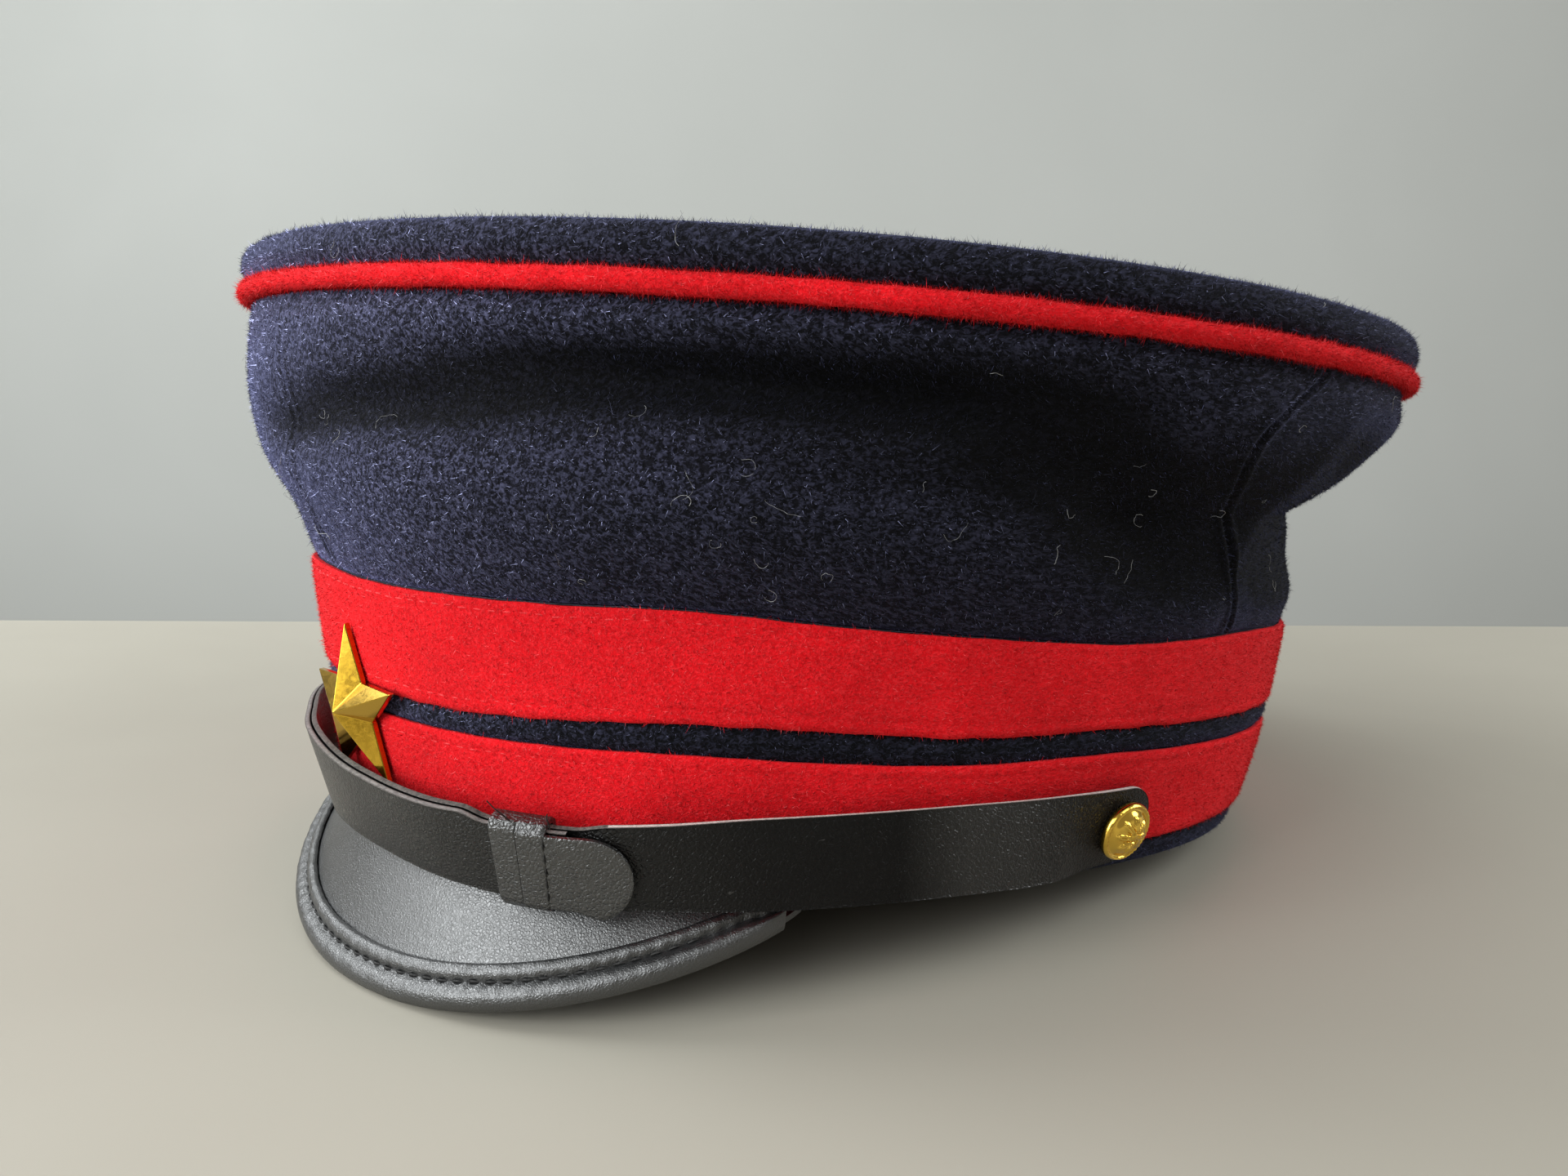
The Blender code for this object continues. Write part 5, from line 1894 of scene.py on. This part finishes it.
@dataclass
class ChinStrap:
    """Both halves of the chin strap, with their cut edges, and the stitched tongue."""

    face_rows: int = 9
    skin: float = 0.22
    flap_start: float = 25.1
    under_flap: float = 27.0
    edge_round: float = 0.16
    flap_round: float = 0.42
    dip: float = 0.10
    # Painted highlights: the grain leather's specular strength at angles round the cap, higher where a
    # highlight is painted.
    painted_highlights: Pairs = (
        (-60, 1.3), (-20, 1.6), (5, 1.3), (24, 0.7), (34, 0.4), (47, 0.3), (54, 1.3), (60, 1.2),
        (68, 0.45), (84, 0.35))

    def section(self, bottom: Array, top: Array, front: Array, thickness: float,
                angle: Array, rounding: float) -> Tuple[Array, List[int]]:
        """Find the closed sections of a leather strip.

        Args:
            bottom: Lower edges across the strap.
            top: Upper edges.
            front: Depths of the outer face.
            thickness: The leather's thickness.
            angle: Angles of the sections.
            rounding: How round the outer face's edges are.

        Returns:
            The sections' points, and a material number for each place in a section.
        """
        room = np.maximum((top - bottom) / 2 - 0.02, 0.01)
        soft = np.minimum(rounding, room)
        t = np.linspace(-1.0, 1.0, self.face_rows)
        shares = 0.5 + 0.5 * np.sin(t * math.pi / 2)
        fall = self.dip * np.abs(t) ** 3
        rows = [(bottom + soft + (top - bottom - 2 * soft) * share, front - low)
                for share, low in zip(shares, fall)]
        rows += [(top - soft * 0.3, front - soft * 0.3), (top, front - self.skin)]
        rows += [(top, front - thickness + self.skin), (top - soft * 0.3, front - thickness + soft * 0.3)]
        rows += [(top - soft, front - thickness), ((top + bottom) / 2, front - thickness),
                 (bottom + soft, front - thickness)]
        rows += [(bottom + soft * 0.3, front - thickness + soft * 0.3), (bottom, front - thickness + self.skin)]
        rows += [(bottom, front - self.skin), (bottom + soft * 0.3, front - soft * 0.3)]
        points = np.stack([STRAP.point(angle, across, depth) for across, depth in rows], 1)
        face = [0] * (self.face_rows - 1)
        finish = face + [0, 1, 2, 1, 0, 0, 0, 0, 1, 2, 1, 0]
        return points, finish[:points.shape[1]]

    def strip(self, cut: StrapCut, front_at: Callable[[Array], Array], drop_at: Callable[[Array], Array],
              rounding: float) -> Tuple[Array, List[int]]:
        """Find the sections of a stretch of strap with its own depth, drop and rounding."""
        angle, half = cut.stations()
        drop = drop_at(angle)
        top = np.maximum(half - drop - STRAP.press(angle), -half - drop + 0.1)
        return self.section(-half - drop, top, front_at(angle), STRAP.thickness, angle, rounding)

    def build(self) -> None:
        """Build both halves and the tongue."""
        step = STRAP.thickness + STRAP.gap
        right_end = STRAP.reach(-STRAP.button_angle, -STRAP.end_beyond_button)
        left_end = STRAP.reach(STRAP.button_angle, STRAP.end_beyond_button)
        outer, inner = MeshMaker(), MeshMaker()
        long_cut = StrapCut(right_end, self.under_flap, True, False)
        outer_body, finish = self.strip(long_cut, lambda a: 0.0 * a, lambda a: 0.0 * a, self.edge_round)
        outer.add_sections(outer_body, False, finish)
        flap_cut = StrapCut(self.flap_start, STRAP.tongue_end, False, True, step=0.25)
        flap, finish = self.strip(flap_cut, lambda a: step + 0.0 * a,
                                  lambda a: STRAP.tongue_drop * STRAP.rise(a), self.flap_round)
        outer.add_sections(flap, False, [3] * len(finish))
        inner_cut = StrapCut(STRAP.inner_tip, left_end, True, True)
        inner_body, finish = self.strip(inner_cut, lambda a: step * (STRAP.rise(a) - 1), lambda a: 0.0 * a,
                                        self.edge_round)
        inner.add_sections(inner_body, False, finish)
        covered = len(finish) * int((inner_cut.stations()[0] < STRAP.tongue_end - 3.0).sum())
        inner.finish = [1 if number == 2 and k < covered else number for k, number in enumerate(inner.finish)]
        for layer, maker, core in ((Layer.OUTER, outer, GREY_CORE), (Layer.INNER, inner, PALE_CORE)):
            name = layer.value
            materials = materials_of(name, grain=STRAP_LEATHER, edge=CUT_EDGE, core=core)
            if layer is Layer.OUTER:
                materials += materials_of(name, flap=FLAP_LEATHER)
            leather = maker.stand_in(name, "leather", materials)
            # Paint the highlights' strength onto the leather by angle round the cap.
            places = np.empty(3 * len(leather.data.vertices), np.float32)
            leather.data.vertices.foreach_get("co", places)
            angle = np.degrees(np.arctan2(places[0::3], -places[1::3]))
            paint(leather.data, "bloom", np.interp(angle, *zip(*self.painted_highlights)))


@dataclass
class Keeper:
    """A leather loop round both halves of the strap, with a stepped face and a stitched end."""

    node: str
    start: float
    width: float
    seed: int
    step_at: float = 4.5
    step_depth: float = 0.50
    notch: float = 0.45
    wall: float = 1.0
    clearance: float = 0.3
    bevel: float = 1.2
    inner_bevel: float = 0.25
    rounding: float = 0.22
    wrinkle: float = 0.10
    columns: int = 40
    end_columns: Tuple[float, ...] = (0.006, 0.014, 0.986, 0.994)
    step_columns: Tuple[float, ...] = (-0.030, -0.018, -0.010, -0.004, 0.002, 0.010)
    thread: StitchLine = StitchLine(pitch=2.3, length=1.7, radius=0.17, arch=0.16, sink=0.14, seed=10)

    def outline(self) -> Tuple[Array, Array]:
        """Return the loop's inner and outer outline, as pairs of across and depth, in equal numbers."""
        bottom = -STRAP.width / 2 - self.clearance
        top = -bottom - float(STRAP.press(np.array(self.start)))
        front = self.clearance
        back = -2 * STRAP.thickness - STRAP.gap - self.clearance

        def ring(top: float, bottom: float, front: float, back: float, bevel: float) -> Array:
            """Return points round a box whose corners are cut off by a bevel."""
            corners = [(top, front - bevel), (top - bevel, front), (bottom + bevel, front),
                       (bottom, front - bevel), (bottom, back + bevel), (bottom + bevel, back),
                       (top - bevel, back), (top, back + bevel)]
            counts = (5, 14, 5, 3, 4, 10, 4, 3)
            points = []
            for k, count in enumerate(counts):
                a, b = np.array(corners[k]), np.array(corners[(k + 1) % len(corners)])
                points += [a + (b - a) * t for t in np.linspace(0, 1, count, endpoint=False)]
            return np.array(points)

        outer = ring(top + self.wall, bottom - self.wall, front + self.wall, back - self.wall, self.bevel)
        return ring(top, bottom, front, back, self.inner_bevel), outer

    def build(self) -> None:
        """Build the loop and its stitches."""
        inner, outer = self.outline()
        end = STRAP.reach(self.start, self.width)
        along = np.sort(np.concatenate((np.linspace(0.0, 1.0, self.columns), np.array(self.end_columns),
                                        self.step_at / self.width + np.array(self.step_columns))))
        angle = self.start + (end - self.start) * along
        place = along * self.width
        rounding = self.rounding * (bell(place, self.rounding) + bell(self.width - place, self.rounding))
        lower = self.step_depth * (1 - smooth_step(place, self.step_at - 0.06, self.step_at + 0.06))
        lower = lower + self.notch * bell(place - self.step_at + 0.06, 0.11)
        rng = np.random.default_rng(self.seed)
        middle = outer.mean(0)
        sections = []
        for k, (out_across, out_depth) in enumerate(outer):
            spread = unit(np.array((out_across, out_depth)) - middle)
            facing = max(0.0, (out_depth - (self.clearance + self.wall - self.bevel)) / self.bevel)
            wrinkle = 0.0
            if 0 < k < 5 and out_across > 0:
                wrinkle = self.wrinkle * np.sin(place * rng.uniform(3.0, 6.0) + rng.uniform(0, 6.0))
            shrink = rounding + lower * min(1.0, facing) + wrinkle
            depth = out_depth - shrink * (1.0 if abs(spread[1]) > 0.15 or facing > 0 else 0.2)
            across = out_across - np.sign(out_across) * rounding * 0.6
            sections.append(np.concatenate((STRAP.point(angle, *inner[k]),
                                            STRAP.point(angle, across, depth)[::-1])))
        maker = MeshMaker()
        maker.add_sections(np.stack(sections), True)
        maker.stand_in(self.node, "leather", materials_of(self.node, grain=FLAP_LEATHER), 50.0)
        self._sew(end, outer)

    def _sew(self, end: float, outer: Array) -> None:
        """Sew the line of black stitches at the loop's end."""
        maker = MeshMaker()
        top, bottom = outer[:, 0].max() - 0.9, outer[:, 0].min() + 1.0
        across = np.linspace(top, bottom, 60)
        place = end - 0.1
        line = STRAP.point(place, across, self.clearance + self.wall - 0.04)
        out = unit(STRAP.point(place, across, 1.0) - STRAP.point(place, across, 0.0))
        self.thread.sew(maker, line, out)
        self._loose_ends(maker)
        maker.add_on(self.node, "stitches", materials_of(self.node, thread=BLACK_THREAD))

    def _loose_ends(self, maker: MeshMaker) -> None:
        """Add the cut ends of thread that stand up over the loop."""
        top = self.outline()[1][:, 0].max()
        step = float(STRAP.reach(self.start, 1.0) - self.start)
        ends = ((3.6, ((0.0, 0.0, 0.0), (-0.6, 1.6, 0.8), (-1.5, 3.0, 1.3), (-2.3, 4.3, 1.5))),
                (self.width + 0.6, ((0.0, -0.4, 0.0), (0.1, 0.8, 0.5), (0.0, 2.0, 0.8), (0.15, 2.8, 0.8))))
        for place, offsets in ends:
            knots = np.array([STRAP.point(self.start + (place + along) * step, top + up, 0.2 + out)
                              for along, up, out in offsets])
            t = np.linspace(0, len(knots) - 1, 13)
            path = read_along(t, np.arange(len(knots)), knots)
            maker.add_tube(path, np.linspace(0.13, 0.09, 13), 6)


# Metal pieces


@dataclass
class Button:
    """A domed gilt button with a beaded rim and a plain rosette."""

    node: str
    angle: float
    radius: float = 5.5
    spokes: int = 112
    rings: int = 44
    petals: int = 8
    beads: int = 40
    bold_lift: float = 0.42
    fine_lift: float = 0.16
    petal_tip: float = 0.70
    vein_tip: float = 0.62
    boss_edge: float = 0.16
    bead_ring: float = 0.925
    bead_reach: float = 0.028
    back_edge: Pairs = ((1.005, 1.3), (0.985, 0.85), (0.86, 0.5))
    profile: Pairs = (
        (0.0, 3.55), (0.34, 3.42), (0.62, 2.86), (0.78, 2.12), (0.84, 1.98), (0.90, 2.25), (0.955, 2.22),
        (1.0, 1.78))

    def relief(self, share: Array, turn: Array) -> Array:
        """Return the height of the rosette and its beads over the dome.

        Args:
            share: Shares of the button's radius.
            turn: Turns round the button, in radians.

        Returns:
            Heights in millimetres.
        """
        petal = np.abs(np.cos(turn * self.petals / 2)) ** 0.7
        petals = self.bold_lift * smooth_step(petal * self.petal_tip - share, 0.0, 0.10)
        petals = petals * smooth_step(share, 0.15, 0.24)
        vein = self.fine_lift * bell(np.sin(turn * self.petals / 2), 0.14) * smooth_step(share, 0.2, 0.3)
        vein = vein * smooth_step(self.vein_tip - share, 0.0, 0.08)
        boss = self.bold_lift * np.sqrt(np.clip(1 - (share / self.boss_edge) ** 2, 0.0, 1.0))
        bead = self.fine_lift * np.clip(np.cos(turn * self.beads), -0.2, 1.0)
        bead = bead * bell(share - self.bead_ring, self.bead_reach)
        return petals - vein + boss + bead

    def build(self) -> None:
        """Build the button."""
        centre = STRAP.point(self.angle, 0.0, 0.0)
        out = unit(STRAP.point(self.angle, 0.0, 1.0) - centre)
        up = unit(STRAP.point(self.angle, 1.0, 0.0) - centre)
        side = np.cross(up, out)
        turn = (2 * math.pi * np.arange(self.spokes) / self.spokes)[:, None]
        share = np.linspace(0.015, 1.0, self.rings)[None, :]
        lift = SmoothTable(self.profile).at(1, share) + self.relief(share, turn)
        edge_shares, edge_lifts = (row + 0.0 * turn for row in np.array(self.back_edge).T)
        shares = np.concatenate((share + 0.0 * turn, edge_shares), 1)
        lifts = np.concatenate((lift, edge_lifts), 1)
        spoke = side * np.cos(turn)[..., None] + up * np.sin(turn)[..., None]
        points = centre + spoke * (shares * self.radius)[..., None] + out * lifts[..., None]
        size = points.shape[1]
        faces = grid_faces(self.spokes, size, True, False).tolist()
        middle = (np.arange(self.spokes) * size).tolist()
        back = [i + size - 1 for i in middle[::-1]]
        maker = MeshMaker()
        maker.add(points, faces + [middle[::-1], back[::-1]], [0] * (len(faces) + 2))
        maker.stand_in(self.node, "gilt", materials_of(self.node, metal=STRAP_GILT), 65.0)


@dataclass
class Star:
    """The faceted five-pointed star at the front."""

    arms: int = 5
    radius: float = 14.5
    inner_ratio: float = 0.40
    angle: float = -4.3
    height: float = 22.0
    edge: float = 0.9
    apex: float = 5.1
    turn: float = 0.7
    bevel: float = 0.10

    def build(self) -> None:
        """Build the star with its edges a little softened."""
        out = BAND.outward(np.array(self.angle))
        slope = math.atan(BAND.flare)
        z = np.array((0.0, 0.0, 1.0))
        up = z * math.cos(slope) + out * math.sin(slope)
        out = out * math.cos(slope) - z * math.sin(slope)
        side = np.cross(up, out)
        centre = BAND.off(self.angle, self.height, BAND.red_thickness + 2 * BAND.gap)
        corners = 2 * self.arms
        rim = []
        for k in range(corners):
            radius = self.radius * (self.inner_ratio if k % 2 else 1.0)
            turn = math.radians(90 + self.turn + 360 * k / corners)
            rim.append(centre + (side * math.cos(turn) + up * math.sin(turn)) * radius)
        points = np.array(rim + [point + out * self.edge for point in rim]
                          + [centre, centre + out * self.apex])
        faces = []
        for k in range(corners):
            after = (k + 1) % corners
            faces.append((k, after, corners + after, corners + k))
            faces.append((corners + k, corners + after, 2 * corners + 1))
            faces.append((after, k, 2 * corners))
        maker = MeshMaker()
        maker.add(points, faces, [0] * len(faces))
        star = maker.build("star_gilt", materials_of("star", metal=STAR_GILT), smooth=False)
        soften = star.modifiers.new("soft_edges", "BEVEL")
        soften.width = self.bevel * MM
        soften.segments = 3
        soften.limit_method = "ANGLE"
        soften.angle_limit = math.radians(12.0)
        soften.harden_normals = False
        register(star, "star", "star")


# Stage


@dataclass(frozen=True)
class PhotoCamera:
    """The camera at the photo's viewing angle."""

    place: Tuple[float, float, float] = (0.17797, -0.21493, 0.09947)
    turn: Tuple[float, float, float] = (80.067, -0.241, 41.458)
    lens: float = 27.774
    sensor: float = 36.0

    def build(self) -> None:
        """Make the camera and let the scene use it."""
        data = bpy.data.cameras.new("photo_camera")
        data.lens, data.sensor_width = self.lens, self.sensor
        data.clip_start, data.clip_end = 0.01, 50.0
        camera = show("photo_camera", data)
        camera.location = self.place
        camera.rotation_euler = Euler([math.radians(angle) for angle in self.turn], "XYZ")
        bpy.context.scene.camera = camera


class Lamp(NamedTuple):
    """A soft rectangular light: its direction and height in degrees, its distance and its power."""

    name: str
    direction: float
    height: float
    distance: float
    power: float


@dataclass
class Studio:
    """A pale table, a pale wall behind it and soft light, mostly from the camera's left."""

    table_near: float = 3.0
    table_far: float = 0.205
    table_half: float = 3.0
    wall_distance: float = 1.3
    wall_half: float = 4.0
    wall_low: float = -1.2
    wall_high: float = 2.2
    heading: float = 41.458
    world_colour: Colour = (1.0, 0.91, 0.80)
    world_power: float = 0.28
    aim: Tuple[float, float, float] = (0.0, 0.0, 0.05)
    lamp_size: Tuple[float, float] = (0.9, 0.7)
    lamp_colour: Colour = (0.94, 0.98, 1.0)
    lamps: Tuple[Lamp, ...] = (
        Lamp("left_back", -160.0, 45.0, 1.5, 8.6),
        Lamp("left", -150.0, 30.0, 1.8, 14.5),
        Lamp("left_low", -125.0, 12.0, 1.8, 4.4),
        Lamp("front_low", -100.0, 12.0, 1.8, 19.5),
        Lamp("front", -100.0, 32.0, 1.8, 12.0),
        Lamp("front_right", -72.0, 30.0, 1.8, 6.0),
        Lamp("right_front", -5.0, 45.0, 1.8, 5.0),
        Lamp("right_back", 45.0, 25.0, 1.5, 11.0),
        Lamp("top", -120.0, 80.0, 1.6, 5.8),
    )

    def build(self) -> None:
        """Make the table, the wall, the lamps and the world."""
        turn = math.radians(self.heading)
        ahead = np.array((-math.sin(turn), math.cos(turn), 0.0))
        across = np.array((math.cos(turn), math.sin(turn), 0.0))
        up = np.array((0.0, 0.0, 1.0))
        side = across * self.table_half
        table = [ahead * self.table_far + side, ahead * self.table_far - side,
                 -ahead * self.table_near - side, -ahead * self.table_near + side]
        self._board("table_top", table, FLOOR.material("pale_table"))
        far = ahead * self.wall_distance
        side, low, high = across * self.wall_half, up * self.wall_low, up * self.wall_high
        wall = [far + side + low, far - side + low, far - side + high, far + side + high]
        self._board("wall", wall, WALL.material("pale_wall"))
        for lamp in self.lamps:
            data = bpy.data.lights.new(lamp.name, "AREA")
            data.shape, data.size, data.size_y = "RECTANGLE", self.lamp_size[0], self.lamp_size[1]
            data.energy, data.color = lamp.power, self.lamp_colour
            light = show(lamp.name, data)
            light.visible_camera = False
            side, rise = math.radians(lamp.direction), math.radians(lamp.height)
            way = Vector((math.cos(side) * math.cos(rise), math.sin(side) * math.cos(rise), math.sin(rise)))
            light.location = Vector(self.aim) + way * lamp.distance
            light.rotation_euler = (-way).to_track_quat("-Z", "Y").to_euler()
        bpy.context.scene.view_settings.view_transform = "Standard"
        world = bpy.data.worlds.new("soft_room")
        bpy.context.scene.world = world
        world.use_nodes = True
        shade = world.node_tree.nodes["Background"]
        shade.inputs["Color"].default_value = (*self.world_colour, 1.0)
        shade.inputs["Strength"].default_value = self.world_power

    @staticmethod
    def _board(name: str, corners: Sequence[Array], material: Material) -> None:
        """Make one flat board of the stage from its corners, in metres."""
        mesh = bpy.data.meshes.new(name)
        mesh.from_pydata([corner.tolist() for corner in corners], [], [(0, 1, 2, 3)])
        mesh.materials.append(material)
        show(name, mesh)


def main() -> None:
    """Build the cap piece by piece, then the stage."""
    logging.basicConfig(level=logging.INFO, format="%(name)s: %(message)s", stream=sys.stdout)
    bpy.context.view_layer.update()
    make_effects()
    PhotoCamera().build()
    CrownSide().build()
    CrownTop().build()
    Piping().build()
    BandCloth().build()
    RedStrip("red_band_lower", lambda a: BAND.hem + 0.0 * a, lambda a: BAND.column("stripe_low", a),
             stitched_up=(), stitched_down=(2.1,), seed=51).build()
    RedStrip("red_band_upper", lambda a: BAND.column("stripe_high", a), lambda a: BAND.column("top", a),
             stitched_up=(2.1,), stitched_down=(1.6,), seed=61).build()
    PeakSheet().build()
    PeakBinding().build()
    ChinStrap().build()
    Keeper("keeper_left", start=19.2, width=9.05, seed=71).build()
    Keeper("keeper_right", start=-57.3, width=12.2, seed=72).build()
    Button("button_left", STRAP.button_angle).build()
    Button("button_right", -STRAP.button_angle).build()
    Star().build()
    Studio().build()


if __name__ == "__main__":
    main()
